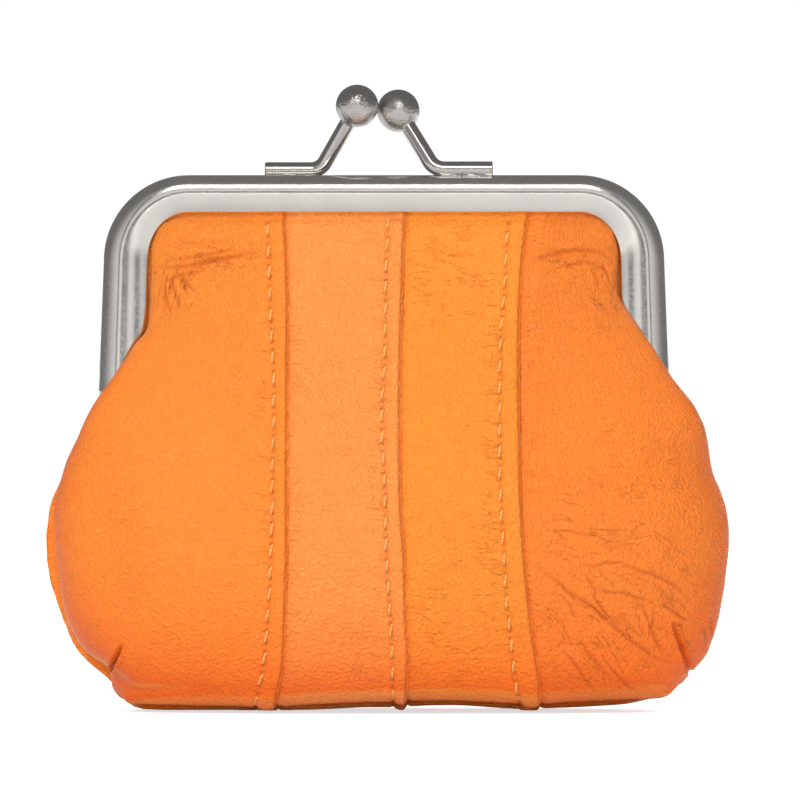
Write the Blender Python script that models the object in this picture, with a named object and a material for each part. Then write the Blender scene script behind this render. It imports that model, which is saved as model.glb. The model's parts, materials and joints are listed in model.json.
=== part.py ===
"""Kiss-lock coin purse: two hinged channel frames, a clasp of two balls, and a pouch sewn from leather strips.

Metres, +Z up. The front faces -Y, and the purse stands on the flattened bottom of its pouch at z = 0.
"""

import math

import bmesh
import bpy
from mathutils import Matrix, Vector

# Hinge
HINGE_Z = 0.0420
EAR_RADIUS = 0.0032
EAR_INSET = 0.0001
EAR_LAYER_GAP = 0.00035
EAR_OVERLAP = 0.0033
RIVET_RADIUS = 0.0010
RIVET_CLEARANCE = 0.00005
RIVET_HEAD_RADIUS = 0.0020
RIVET_HEAD_THICKNESS = 0.0006

# Metal frame, one half
FRAME_HALF_WIDTH = 0.0395
ARM_FLARE = 0.0007
ARM_FACE_WIDTH = 0.0063
TOP_FACE_WIDTH = 0.00535
FRAME_RISE = 0.0336
ARM_FOOT_CLEARANCE = 0.0008
FRAME_CORNER_RADIUS = 0.0120
WINDOW_CORNER_RADIUS = 0.0054
CHANNEL_DEPTH = 0.0043
SHEET = 0.0006
CLOSED_GAP = 0.0003
BACK_LIP_WIDTH = 0.0042
FRAME_TOP = HINGE_Z + FRAME_RISE
FRAME_FOOT = HINGE_Z + EAR_RADIUS + ARM_FOOT_CLEARANCE
FRAME_FOOT_HALF_WIDTH = FRAME_HALF_WIDTH + ARM_FLARE
WINDOW_HALF_WIDTH = FRAME_HALF_WIDTH - ARM_FACE_WIDTH
WINDOW_TOP = FRAME_TOP - TOP_FACE_WIDTH
EAR_OUTER_X = FRAME_FOOT_HALF_WIDTH - EAR_INSET

# Clasp
BALL_DIAMETER = 0.0058
BALL_PASSING_GAP = 0.00009
BALL_LEAN = 0.0011
LEFT_BALL_X = -0.00385
LEFT_BALL_RISE = 0.0098
RIGHT_BALL_RISE = 0.0092
ROD_DIAMETER = 0.0020
ROD_SOLDER_GAP = 0.00015
LEFT_FOOT_LENGTH = 0.0079
RIGHT_FOOT_LENGTH = 0.0082
ROD_LEAN_LENGTH = 0.0051
ROD_BEND_RADIUS = 0.0024
ROD_SOCKET_DEPTH = 0.0014
ROD_SOCKET_CLEARANCE = 0.0001

# Pouch
POUCH_SPREAD = 0.0086
LOBE_DEPTH = 0.0176
LEATHER = 0.0009
LEATHER_GAP = 0.0003
STRIP_LAP = 0.0034
LAP_STEP = 0.0006
LAP_TUCK = 0.0006
HINGE_CUT_GAP = 0.00015
SIDE_ROUNDNESS = 2.6
FLAT_BOTTOM_SHARE = 0.60
LINING = 0.0004
LINING_DROP = 0.0045
POUCH_HALF_WIDTH = FRAME_HALF_WIDTH + POUCH_SPREAD
LINING_TOP = HINGE_Z - LINING_DROP

# Mouth of the pouch, in the frame
LIP_CLEARANCE = 0.0003
LIP_STEP = 0.0004
BINDING_CORD_DIAMETER = 0.0015
BINDING_CORD_CLEARANCE = 0.0007
SHOULDER_BACK = CHANNEL_DEPTH + LIP_CLEARANCE
MOUTH_EDGE_DEPTH = SHOULDER_BACK + LIP_STEP
BINDING_CORD_FOOT = FRAME_FOOT + EAR_OVERLAP + BINDING_CORD_CLEARANCE

OVERRUN = 0.0010

# Form of the lugs, as shares of their radius, and of the rivets' heads, as shares of the head's own sizes
EAR_HEEL_SHARES = (0.60, 0.75)
EAR_SHOULDER_SHARE = 0.25
RIVET_RIM_SHARE = 0.35
RIVET_CROWN_SHARE = 0.55

# Lines where a strip's folded edge ends, left to right, as shares of the pouch's half-width
FOLD_SHARES = (-0.289, 0.048, 0.393)

# Rows of a lobe below the hinge, from the bottom seam up. Height and side height are shares of the hinge's
# height, depth and edge depth are shares of the lobe's depth, and half-width is a share of the pouch's.
LOBE_ROW_SHARES = (
    # height, depth, half-width, side height, edge depth
    (0.036, 0.009, 0.624, 0.036, 0.0085),
    (0.012, 0.091, 0.676, 0.040, 0.0085),
    (0.000, 0.205, 0.738, 0.052, 0.0085),
    (0.000, 0.591, 0.802, 0.076, 0.0085),
    (0.021, 0.756, 0.844, 0.114, 0.0085),
    (0.076, 0.869, 0.886, 0.160, 0.0085),
    (0.167, 0.949, 0.927, 0.221, 0.0085),
    (0.298, 0.989, 0.963, 0.329, 0.0085),
    (0.452, 1.000, 0.990, 0.452, 0.0085),
    (0.595, 0.972, 1.000, 0.595, 0.0085),
    (0.714, 0.926, 0.983, 0.714, 0.0085),
    (0.821, 0.864, 0.954, 0.821, 0.0085),
    (0.905, 0.801, 0.927, 0.905, 0.1360),
    (1.000, 0.722, 0.898, 1.000, 0.2840),
)
# Rows where the laps stand proud and where the strip below reaches under them
LOBE_LAP_ROWS = (5, 13)
LOBE_TUCK_ROWS = (6, 13)

# Rows of the mouth from the hinge up. Height is a share of the way from the hinge to the window's top, depth
# is a share of the lobe's, and reach is how far the panel spills over the arm, as a share of the pouch's
# half-width past the window.
MOUTH_ROW_SHARES = (
    # height, depth, reach
    (0.000, 0.716, 1.000),
    (0.080, 0.676, 0.760),
    (0.165, 0.631, 0.560),
    (0.250, 0.585, 0.370),
    (0.335, 0.540, 0.180),
    (0.412, 0.500, 0.000),
    (0.530, 0.438, 0.000),
    (0.655, 0.375, 0.000),
    (0.780, 0.318, 0.000),
    (0.868, 0.278, 0.000),
    (0.935, 0.239, 0.000),
)
MOUTH_SPILL_SHARE = 0.894
MOUTH_LAP_ROWS = (0, 9)
MOUTH_TUCK_ROWS = (0, 8)

# Rows of the pocket lining kept round the bottom seam
LINING_BOTTOM_ROWS = 3

# Columns of a side strip from its seam to the side, and turns of the smooth pieces
SIDE_COLUMNS = 8
MIDDLE_COLUMNS = 3
CORNER_STEPS = 6
ARM_STEPS = 3
ROD_SIDES = 12
BEND_STEPS = 5
BALL_SEGMENTS = 16
BALL_RINGS = 10
RIVET_SIDES = 18
EAR_STEPS = 20
LINING_COLUMNS = 5
CORD_SIDES = 8
SHARP_DEGREES = 40.0

# Steps by which a direction on the lobe is measured, in radians and in rows
PROBE_TURN = 0.01
PROBE_ROW = 0.05
PROBE_FIRST_ROW = 0.15

# Section of the channel. Each point is a place across the face, as a share of its width, and a depth, as a
# share of the channel's depth, over the outside and then back along the inside.
CHANNEL_OUTSIDE_SHARES = (
    (1.00, 0.83),
    (0.97, 0.89),
    (0.75, 0.97),
    (0.50, 1.00),
    (0.27, 0.98),
    (0.10, 0.90),
    (0.02, 0.79),
    (0.00, 0.66),
    (0.00, 0.20),
    (0.04, 0.08),
)
SPINE_DEPTH_SHARE = CHANNEL_OUTSIDE_SHARES[7][1]
CHANNEL_INSIDE_SHARES = (
    (0.14, 0.81),
    (0.28, 0.85),
    (0.50, 0.86),
    (0.75, 0.83),
    (0.96, 0.77),
)


def smoothstep(share):
    """Ease from 0 to 1 with level ends."""
    held = min(max(share, 0.0), 1.0)
    return held * held * (3.0 - 2.0 * held)


def curve_value(values, place):
    """Read a smooth curve through evenly spaced values at a place counted in spaces."""
    last = len(values) - 1
    start = min(max(int(math.floor(place)), 0), last - 1)
    part = place - start
    before = values[max(start - 1, 0)]
    low = values[start]
    high = values[start + 1]
    after = values[min(start + 2, last)]
    rise = 0.5 * (high - before)
    fall = 0.5 * (after - low)
    square = part * part
    cube = square * part
    return (
        (2.0 * cube - 3.0 * square + 1.0) * low
        + (cube - 2.0 * square + part) * rise
        + (3.0 * square - 2.0 * cube) * high
        + (cube - square) * fall
    )


def clear_scene():
    """Remove whatever the open file holds."""
    for old in list(bpy.data.objects):
        bpy.data.objects.remove(old, do_unlink=True)


def make_material(name, colour, roughness, metallic):
    """Return a plain finish of one colour."""
    finish = bpy.data.materials.new(name)
    finish.use_nodes = True
    shader = finish.node_tree.nodes["Principled BSDF"]
    shader.inputs["Base Color"].default_value = (*colour, 1.0)
    shader.inputs["Roughness"].default_value = roughness
    shader.inputs["Metallic"].default_value = metallic
    return finish


def place_object(name, mesh_builder, finish, origin, parent):
    """Turn a bmesh into a named object whose origin is at the given point, and free the bmesh."""
    bmesh.ops.recalc_face_normals(mesh_builder, faces=mesh_builder.faces)
    bmesh.ops.translate(mesh_builder, verts=mesh_builder.verts, vec=-origin)
    mesh = bpy.data.meshes.new(name)
    mesh_builder.to_mesh(mesh)
    mesh_builder.free()
    mesh.shade_smooth()
    mesh.set_sharp_from_angle(angle=math.radians(SHARP_DEGREES))
    mesh.materials.append(finish)
    piece = bpy.data.objects.new(name, mesh)
    bpy.context.scene.collection.objects.link(piece)
    piece.parent = parent
    piece.location = origin - parent.location
    return piece


def make_pivot(name, location):
    """Return an empty that carries the pieces of one body."""
    pivot = bpy.data.objects.new(name, None)
    pivot.location = location
    bpy.context.scene.collection.objects.link(pivot)
    return pivot


def loft(rings):
    """Extrude the first ring from ring to ring and return the closed bmesh."""
    shape = bmesh.new()
    foot = shape.faces.new([shape.verts.new(point) for point in rings[0]])
    face = foot
    for ring in rings[1:]:
        grown = bmesh.ops.extrude_face_region(shape, geom=[face], use_keep_orig=True)
        if face is not foot:
            bmesh.ops.delete(shape, geom=[face], context="FACES_ONLY")
        face = next(item for item in grown["geom"] if isinstance(item, bmesh.types.BMFace))
        for corner, point in zip(face.verts, ring):
            corner.co = point
    return shape


def flip_depth(rings):
    """Mirror rings from the front half to the rear half."""
    return [[Vector((point.x, -point.y, point.z)) for point in ring] for ring in rings]


def join_solids(target, tool, operation):
    """Apply a Boolean of a helper to a piece and drop the helper."""
    modifier = target.modifiers.new(operation.title(), "BOOLEAN")
    modifier.operation = operation
    modifier.solver = "EXACT"
    modifier.object = tool
    graph = bpy.context.evaluated_depsgraph_get()
    result = bpy.data.meshes.new_from_object(target.evaluated_get(graph))
    target.modifiers.remove(modifier)
    target.data = result
    bpy.data.objects.remove(tool, do_unlink=True)


def make_helper(shape):
    """Return a helper object for a Boolean."""
    bmesh.ops.recalc_face_normals(shape, faces=shape.faces)
    mesh = bpy.data.meshes.new("helper")
    shape.to_mesh(mesh)
    shape.free()
    helper = bpy.data.objects.new("helper", mesh)
    helper.hide_render = True
    helper.display_type = "WIRE"
    bpy.context.scene.collection.objects.link(helper)
    return helper


def frame_outer_half_width(height):
    """Half-width of the frame's outer edge along its flared arms."""
    corner_start = FRAME_TOP - FRAME_CORNER_RADIUS
    share = (corner_start - height) / (corner_start - FRAME_FOOT)
    return FRAME_HALF_WIDTH + (FRAME_FOOT_HALF_WIDTH - FRAME_HALF_WIDTH) * max(share, 0.0)


def frame_stations(foot):
    """Pairs of outer and window-edge points along the frame, from the left arm's foot to the right arm's."""
    outer_x = FRAME_HALF_WIDTH - FRAME_CORNER_RADIUS
    outer_z = FRAME_TOP - FRAME_CORNER_RADIUS
    inner_x = WINDOW_HALF_WIDTH - WINDOW_CORNER_RADIUS
    inner_z = WINDOW_TOP - WINDOW_CORNER_RADIUS
    half = []
    for step in range(ARM_STEPS):
        share = step / ARM_STEPS
        height = foot + (outer_z - foot) * share
        inner_height = foot + (inner_z - foot) * share
        half.append((Vector((-frame_outer_half_width(height), 0.0, height)),
                     Vector((-WINDOW_HALF_WIDTH, 0.0, inner_height))))
    for step in range(CORNER_STEPS + 1):
        turn = 0.5 * math.pi * step / CORNER_STEPS
        way = Vector((-math.cos(turn), 0.0, math.sin(turn)))
        half.append((Vector((-outer_x, 0.0, outer_z)) + FRAME_CORNER_RADIUS * way,
                     Vector((-inner_x, 0.0, inner_z)) + WINDOW_CORNER_RADIUS * way))
    middle = [(Vector((0.0, 0.0, FRAME_TOP)), Vector((0.0, 0.0, WINDOW_TOP)))]
    mirrored = [(Vector((-outer.x, 0.0, outer.z)), Vector((-inner.x, 0.0, inner.z))) for outer, inner in half]
    return half + middle + mirrored[::-1]


def channel_section(outer, inner):
    """One ring of the front half's channel between an outer point and a window-edge point."""
    across = inner - outer
    face = across.length
    way = across.normalized()
    front = -CHANNEL_DEPTH
    near = -0.5 * CLOSED_GAP
    points = [(share * face, front * depth) for share, depth in CHANNEL_OUTSIDE_SHARES]
    points.append((SHEET, near))
    points.append((BACK_LIP_WIDTH, near))
    points.append((BACK_LIP_WIDTH, near - SHEET))
    points.append((2.0 * SHEET, near - SHEET))
    points.append((SHEET, near - 2.0 * SHEET))
    points.append((SHEET, front * SPINE_DEPTH_SHARE))
    points.extend((share * face, front * depth) for share, depth in CHANNEL_INSIDE_SHARES)
    return [outer + way * place + Vector((0.0, depth, 0.0)) for place, depth in points]


def ear_plate(side, inner_x, outer_x, top):
    """A flat lug round the hinge that reaches up inside the channel's spine."""
    turns = [math.pi * (1.0 + step / EAR_STEPS) for step in range(EAR_STEPS + 1)]
    outline = [(EAR_RADIUS * math.cos(turn), HINGE_Z + EAR_RADIUS * math.sin(turn)) for turn in turns]
    root_near = -0.5 * CLOSED_GAP - SHEET
    root_far = -CHANNEL_DEPTH * SPINE_DEPTH_SHARE
    shoulder = FRAME_FOOT - EAR_SHOULDER_SHARE * EAR_RADIUS
    heel_out, heel_up = EAR_HEEL_SHARES
    outline.append((heel_out * EAR_RADIUS, HINGE_Z + heel_up * EAR_RADIUS))
    outline.append((root_near, shoulder))
    outline.append((root_near, top))
    outline.append((root_far, top))
    outline.append((root_far, shoulder))
    rings = [[Vector((side * x, y, z)) for y, z in outline] for x in (inner_x, outer_x)]
    return loft(rings)


def hinge_cutter(side):
    """A cylinder along the hinge axis for the ears' holes."""
    shape = bmesh.new()
    length = FRAME_FOOT_HALF_WIDTH - WINDOW_HALF_WIDTH
    spot = Matrix.Translation((side * (WINDOW_HALF_WIDTH + 0.5 * length), 0.0, HINGE_Z))
    bmesh.ops.create_cone(shape, cap_ends=True, segments=RIVET_SIDES,
                          radius1=RIVET_RADIUS + RIVET_CLEARANCE, radius2=RIVET_RADIUS + RIVET_CLEARANCE,
                          depth=length + 2.0 * OVERRUN, matrix=spot @ Matrix.Rotation(0.5 * math.pi, 4, "Y"))
    return make_helper(shape)


def build_frame(name, rear, finish, pivot):
    """One half of the frame: a channel bent to an arch, with a lug for the rivet at each foot."""
    rings = [channel_section(outer, inner) for outer, inner in frame_stations(FRAME_FOOT)]
    shape = loft(flip_depth(rings) if rear else rings)
    frame = place_object(name, shape, finish, pivot.location.copy(), pivot)
    frame.parent = None
    frame.location = pivot.location
    bpy.context.view_layer.update()
    top = FRAME_FOOT + EAR_OVERLAP
    for side in (-1.0, 1.0):
        outer_x = EAR_OUTER_X - (SHEET + EAR_LAYER_GAP) * rear
        plate = ear_plate(side, outer_x - SHEET, outer_x, top)
        if rear:
            bmesh.ops.scale(plate, vec=(1.0, -1.0, 1.0), verts=plate.verts)
        join_solids(frame, make_helper(plate), "UNION")
        if rear:
            join_solids(frame, make_helper(ear_packing(side, outer_x, top)), "UNION")
        join_solids(frame, hinge_cutter(side), "DIFFERENCE")
    frame.parent = pivot
    frame.location = (0.0, 0.0, 0.0)
    frame.data.name = name
    return frame


def ear_packing(side, outer_x, top):
    """The joggle that carries the rear frame's lug inside the front frame's."""
    near = 0.5 * CLOSED_GAP + 1.5 * SHEET
    far = CHANNEL_DEPTH * SPINE_DEPTH_SHARE - 0.5 * SHEET
    low = FRAME_FOOT + 0.5 * SHEET
    high = top - 0.5 * SHEET
    inside = outer_x - 0.5 * SHEET
    outside = FRAME_FOOT_HALF_WIDTH - 0.5 * SHEET
    corners = ((near, low), (far, low), (far, high), (near, high))
    return loft([[Vector((side * x, y, z)) for y, z in corners] for x in (inside, outside)])


def build_rivet(name, side, finish, pivot):
    """A rivet through both lugs, with a domed head at each end, turned about the hinge axis."""
    outer_face = EAR_OUTER_X + EAR_LAYER_GAP
    inner_face = EAR_OUTER_X - 2.0 * SHEET - 2.0 * EAR_LAYER_GAP
    rim = RIVET_RIM_SHARE * RIVET_HEAD_THICKNESS
    crown = RIVET_CROWN_SHARE * RIVET_HEAD_RADIUS
    profile = (
        (inner_face - RIVET_HEAD_THICKNESS, crown),
        (inner_face - rim, RIVET_HEAD_RADIUS),
        (inner_face, RIVET_HEAD_RADIUS),
        (inner_face, RIVET_RADIUS),
        (outer_face, RIVET_RADIUS),
        (outer_face, RIVET_HEAD_RADIUS),
        (outer_face + rim, RIVET_HEAD_RADIUS),
        (outer_face + RIVET_HEAD_THICKNESS, crown),
    )
    rings = []
    for x, radius in profile:
        turns = [2.0 * math.pi * step / RIVET_SIDES for step in range(RIVET_SIDES)]
        rings.append([Vector((side * x, radius * math.cos(turn), HINGE_Z + radius * math.sin(turn)))
                      for turn in turns])
    return place_object(name, loft(rings), finish, Vector((side * outer_face, 0.0, HINGE_Z)), pivot)


def clasp_layout(rear):
    """Ball centre, foot start and bend of a clasp half, in world coordinates."""
    seat_z = FRAME_TOP + ROD_SOLDER_GAP + 0.5 * ROD_DIAMETER
    seat_y = 0.5 * CHANNEL_DEPTH
    if rear:
        bend = Vector((LEFT_BALL_X - ROD_LEAN_LENGTH, seat_y, seat_z))
        ball = Vector((LEFT_BALL_X, -BALL_LEAN, FRAME_TOP + LEFT_BALL_RISE))
        return ball, bend - Vector((LEFT_FOOT_LENGTH, 0.0, 0.0)), bend
    pitch = BALL_DIAMETER + BALL_PASSING_GAP
    drop = LEFT_BALL_RISE - RIGHT_BALL_RISE
    right_x = LEFT_BALL_X + math.sqrt(pitch * pitch - drop * drop)
    bend = Vector((right_x + ROD_LEAN_LENGTH, -seat_y, seat_z))
    ball = Vector((right_x, BALL_LEAN, FRAME_TOP + RIGHT_BALL_RISE))
    return ball, bend + Vector((RIGHT_FOOT_LENGTH, 0.0, 0.0)), bend


def rod_route(ball, start, bend):
    """Points along a clasp rod: along the frame, round a bend and up into the ball's socket."""
    along = (bend - start).normalized()
    up = (ball - bend).normalized()
    tip = ball - up * (0.5 * BALL_DIAMETER - ROD_SOCKET_DEPTH)
    corner = 0.5 * along.angle(up)
    setback = ROD_BEND_RADIUS * math.tan(corner)
    first = bend - along * setback
    last = bend + up * setback
    inward = (up - along).normalized()
    centre = bend + inward * (ROD_BEND_RADIUS / math.cos(corner))
    route = [start]
    for step in range(BEND_STEPS + 1):
        share = step / BEND_STEPS
        arm = (first - centre).normalized().slerp((last - centre).normalized(), share)
        route.append(centre + arm * ROD_BEND_RADIUS)
    route.append(tip)
    return route


def tube_rings(route, radius, sides):
    """Rings of a round rod along a route, each square to its stretch."""
    rings = []
    across = Vector((0.0, 1.0, 0.0))
    for index, point in enumerate(route):
        before = route[max(index - 1, 0)]
        after = route[min(index + 1, len(route) - 1)]
        way = (after - before).normalized()
        across = (across - way * across.dot(way)).normalized()
        other = way.cross(across)
        turns = [2.0 * math.pi * step / sides for step in range(sides)]
        rings.append([point + radius * (math.cos(turn) * across + math.sin(turn) * other) for turn in turns])
    return rings


def build_clasp(stem_name, ball_name, rear, finish, pivot):
    """A bent rod soldered along the frame's top, and the ball seated on its tip."""
    ball, start, bend = clasp_layout(rear)
    route = rod_route(ball, start, bend)
    place_object(stem_name, loft(tube_rings(route, 0.5 * ROD_DIAMETER, ROD_SIDES)), finish,
                 pivot.location.copy(), pivot)
    shape = bmesh.new()
    bmesh.ops.create_uvsphere(shape, u_segments=BALL_SEGMENTS, v_segments=BALL_RINGS,
                              radius=0.5 * BALL_DIAMETER, matrix=Matrix.Translation(ball))
    knob = place_object(ball_name, shape, finish, pivot.location.copy(), pivot)
    bpy.context.view_layer.update()
    up = (ball - bend).normalized()
    socket_end = ball - up * (0.5 * BALL_DIAMETER - ROD_SOCKET_DEPTH - ROD_SOCKET_CLEARANCE)
    socket = [ball - up * (0.5 * BALL_DIAMETER + OVERRUN), socket_end]
    socket_radius = 0.5 * ROD_DIAMETER + ROD_SOCKET_CLEARANCE
    join_solids(knob, make_helper(loft(tube_rings(socket, socket_radius, ROD_SIDES))), "DIFFERENCE")
    knob.data.name = ball_name


def build_binding_cord(name, rear, finish, pivot):
    """The cord that wedges leather and lining in the blind end of the channel."""
    inset = SHEET + LIP_CLEARANCE + 0.5 * BINDING_CORD_DIAMETER
    depth = -(0.5 * CLOSED_GAP + SHEET + LIP_CLEARANCE + 0.5 * BINDING_CORD_DIAMETER)
    route = []
    for outer, inner in frame_stations(BINDING_CORD_FOOT):
        route.append(outer + (inner - outer).normalized() * inset + Vector((0.0, depth, 0.0)))
    rings = tube_rings(route, 0.5 * BINDING_CORD_DIAMETER, CORD_SIDES)
    place_object(name, loft(flip_depth(rings) if rear else rings), finish, pivot.location.copy(), pivot)


def lobe_sizes(place):
    """Height, depth, half-width, side height and edge depth of a lobe at a row place, in metres."""
    columns = list(zip(*LOBE_ROW_SHARES))
    height, depth, width, side, edge = (curve_value(column, place) for column in columns)
    return height * HINGE_Z, depth * LOBE_DEPTH, width * POUCH_HALF_WIDTH, side * HINGE_Z, edge * LOBE_DEPTH


def lobe_point(turn, place):
    """A point of the front lobe's outer face, by its turn round the lobe and its row place."""
    height, depth, width, side, edge = lobe_sizes(place)
    power = 2.0 / SIDE_ROUNDNESS
    across = math.copysign(abs(math.sin(turn)) ** power, turn)
    out = max(math.cos(turn), 0.0) ** power
    lift = smoothstep((abs(across) - FLAT_BOTTOM_SHARE) / (1.0 - FLAT_BOTTOM_SHARE))
    return Vector((width * across, -(edge + (depth - edge) * out), height + (side - height) * lift))


def lobe_normal(turn, place):
    """The outward direction of the front lobe's outer face."""
    widest = 0.5 * math.pi - 2.0 * PROBE_TURN
    held_turn = min(max(turn, -widest), widest)
    held_row = min(max(place, PROBE_FIRST_ROW), len(LOBE_ROW_SHARES) - 1.0 - PROBE_ROW)
    along = lobe_point(held_turn + PROBE_TURN, held_row) - lobe_point(held_turn - PROBE_TURN, held_row)
    upward = lobe_point(held_turn, held_row + PROBE_ROW) - lobe_point(held_turn, held_row - PROBE_ROW)
    return along.cross(upward).normalized()


def lobe_turn(x, place):
    """The turn round the lobe at which its outer face has this x."""
    width = lobe_sizes(place)[2]
    share = min(abs(x) / width, 1.0)
    return math.copysign(math.asin(share ** (0.5 * SIDE_ROUNDNESS)), x)


def shell_point(turn, place, lift):
    """A point at a height above the lobe's outer face, kept level on the cut at the hinge."""
    base = lobe_point(turn, place)
    moved = base + lobe_normal(turn, place) * lift
    moved.y = min(moved.y, -lobe_sizes(place)[4])
    if place >= len(LOBE_ROW_SHARES) - 1:
        moved.z = base.z - HINGE_CUT_GAP
    return moved


def fold_lines():
    """The x of each strip's folded edge."""
    return [share * POUCH_HALF_WIDTH for share in FOLD_SHARES]


def within(rows, row):
    """Whether a row lies in a first-to-last pair."""
    return rows[0] <= row <= rows[1]


def strip_edges(index, lapped, tucked):
    """x and lift of a strip's left edge, and of the joggle and folded edge on its right; None at a side."""
    folds = fold_lines()
    rise = (LEATHER + LEATHER_GAP) if lapped else 0.0
    left = None
    if index > 0:
        left = folds[index - 1] + (LAP_TUCK - STRIP_LAP if tucked else LEATHER_GAP)
    right = None
    if index < len(folds):
        fold = folds[index]
        right = ((fold - STRIP_LAP - LAP_STEP, 0.0), (fold - STRIP_LAP, rise), (fold, rise))
    return left, right


def strip_columns(index, row):
    """Turn and lift of each column of a lower strip at one row, from left to right."""
    left, right = strip_edges(index, within(LOBE_LAP_ROWS, row), within(LOBE_TUCK_ROWS, row))
    columns = []
    quarter = 0.5 * math.pi
    if left is None:
        inner = lobe_turn(right[0][0], row)
        columns += [(-quarter + (inner + quarter) * step / SIDE_COLUMNS, 0.0) for step in range(SIDE_COLUMNS)]
    elif right is None:
        inner = lobe_turn(left, row)
        reach = quarter - inner
        columns += [(inner + reach * step / SIDE_COLUMNS, 0.0) for step in range(SIDE_COLUMNS + 1)]
    else:
        reach = right[0][0] - left
        places = [left + reach * step / MIDDLE_COLUMNS for step in range(MIDDLE_COLUMNS)]
        columns += [(lobe_turn(x, row), 0.0) for x in places]
    if right is not None:
        columns += [(lobe_turn(x, row), lift) for x, lift in right]
    return columns


def build_lower_strip(name, index, rear, finish, pivot):
    """A leather strip of the pouch below the hinge, from the bottom seam up."""
    rings = []
    for row in range(len(LOBE_ROW_SHARES)):
        columns = strip_columns(index, row)
        outside = [shell_point(turn, row, lift) for turn, lift in columns]
        inside = [shell_point(turn, row, lift - LEATHER) for turn, lift in columns]
        rings.append(outside + inside[::-1])
    place_object(name, loft(flip_depth(rings) if rear else rings), finish, pivot.location.copy(), pivot)


def window_half_width(height):
    """Half-width of the frame's window at a height, round its top corners."""
    start = WINDOW_TOP - WINDOW_CORNER_RADIUS
    if height <= start:
        return WINDOW_HALF_WIDTH
    rise = min((height - start) / WINDOW_CORNER_RADIUS, 1.0)
    return WINDOW_HALF_WIDTH - WINDOW_CORNER_RADIUS * (1.0 - math.sqrt(1.0 - rise * rise))


def tuck_half_width(height):
    """How far the leather reaches sideways inside the channel at a height."""
    inset = SHEET + 2.0 * LIP_CLEARANCE + BINDING_CORD_DIAMETER
    start = FRAME_TOP - FRAME_CORNER_RADIUS
    if height <= start:
        return FRAME_HALF_WIDTH - inset
    radius = FRAME_CORNER_RADIUS - inset
    rise = min((height - start) / radius, 1.0)
    return FRAME_HALF_WIDTH - inset - radius * (1.0 - math.sqrt(1.0 - rise * rise))


def mouth_rows():
    """Height, depth, half-width and edge depth of the mouth's outer face, row by row, in metres."""
    rows = []
    behind = channel_leather_face()
    at_lip = behind + 1.5 * LIP_STEP
    for height_share, depth_share, reach in MOUTH_ROW_SHARES:
        height = HINGE_Z + (WINDOW_TOP - HINGE_Z) * height_share
        edge = window_half_width(height) - LIP_CLEARANCE
        width = edge + (MOUTH_SPILL_SHARE * POUCH_HALF_WIDTH - edge) * reach
        out = at_lip + (MOUTH_EDGE_DEPTH - at_lip) * smoothstep(4.0 * (0.5 - height_share))
        rows.append((height, LOBE_DEPTH * depth_share, width, out))
    under = WINDOW_TOP - 2.0 * LIP_CLEARANCE
    half = window_half_width(under) - 2.0 * LIP_CLEARANCE
    rows.append((under - LIP_STEP, behind + LIP_STEP, half, behind + LIP_STEP))
    rows.append((under + LIP_STEP, behind, half - LIP_STEP, behind))
    inset = SHEET + 2.0 * LIP_CLEARANCE + BINDING_CORD_DIAMETER
    top = FRAME_TOP - inset
    rows.append((top, behind, tuck_half_width(top) - 4.0 * LIP_STEP, behind))
    return rows


def channel_leather_face():
    """Depth of the leather's outer face inside the channel, behind the lip."""
    return CHANNEL_DEPTH * CHANNEL_INSIDE_SHARES[-1][1] - LIP_CLEARANCE


def mouth_depth(row, x):
    """Depth of the mouth's outer face at an x."""
    _, depth, width, edge = row
    share = min(abs(x) / width, 1.0)
    return edge + (depth - edge) * (1.0 - share ** SIDE_ROUNDNESS) ** (1.0 / SIDE_ROUNDNESS)


def side_mouth_ring(row, x_in, columns, flank):
    """A ring of a side strip at the mouth: over the shoulder, behind the lip and back along the inside."""
    height, _, width, edge = row
    turn_in = math.asin((x_in / width) ** (0.5 * SIDE_ROUNDNESS))
    quarter = 0.5 * math.pi
    power = 2.0 / SIDE_ROUNDNESS
    outside = []
    for step in range(columns + 1):
        x = width * math.sin(turn_in + (quarter - turn_in) * step / columns) ** power
        outside.append((x, mouth_depth(row, x)))
    rim = window_half_width(height) - LIP_CLEARANCE
    behind = channel_leather_face()
    spill = smoothstep((width - rim) / LIP_STEP)
    back = behind + LIP_STEP + (SHOULDER_BACK - behind - LIP_STEP) * spill
    back = min(back, edge)
    hidden = tuck_half_width(height)
    if spill <= 0.0:
        hidden = max(hidden, width + 2.0 * LIP_STEP)
    entry = min(rim, width) + LIP_STEP
    slip = 0.1 * LIP_STEP
    lip = [
        (max(width - LIP_STEP * spill, entry - LIP_STEP + slip), back),
        (entry - LIP_STEP + slip, back - slip),
        (entry - LIP_STEP + 2.0 * slip, min(behind + LIP_STEP, back - 2.0 * slip)),
        (entry, behind),
        (hidden, behind),
        (hidden, behind - LEATHER),
        (entry, behind - LEATHER),
    ]
    inner_end = entry - 2.0 * LIP_STEP
    inside = []
    for step in range(columns + 1):
        x = x_in + (inner_end - x_in) * (1.0 - step / columns)
        inside.append((x, mouth_depth(row, x) - LEATHER))
    return [Vector((flank * x, -depth_here, height)) for x, depth_here in outside + lip + inside]


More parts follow.
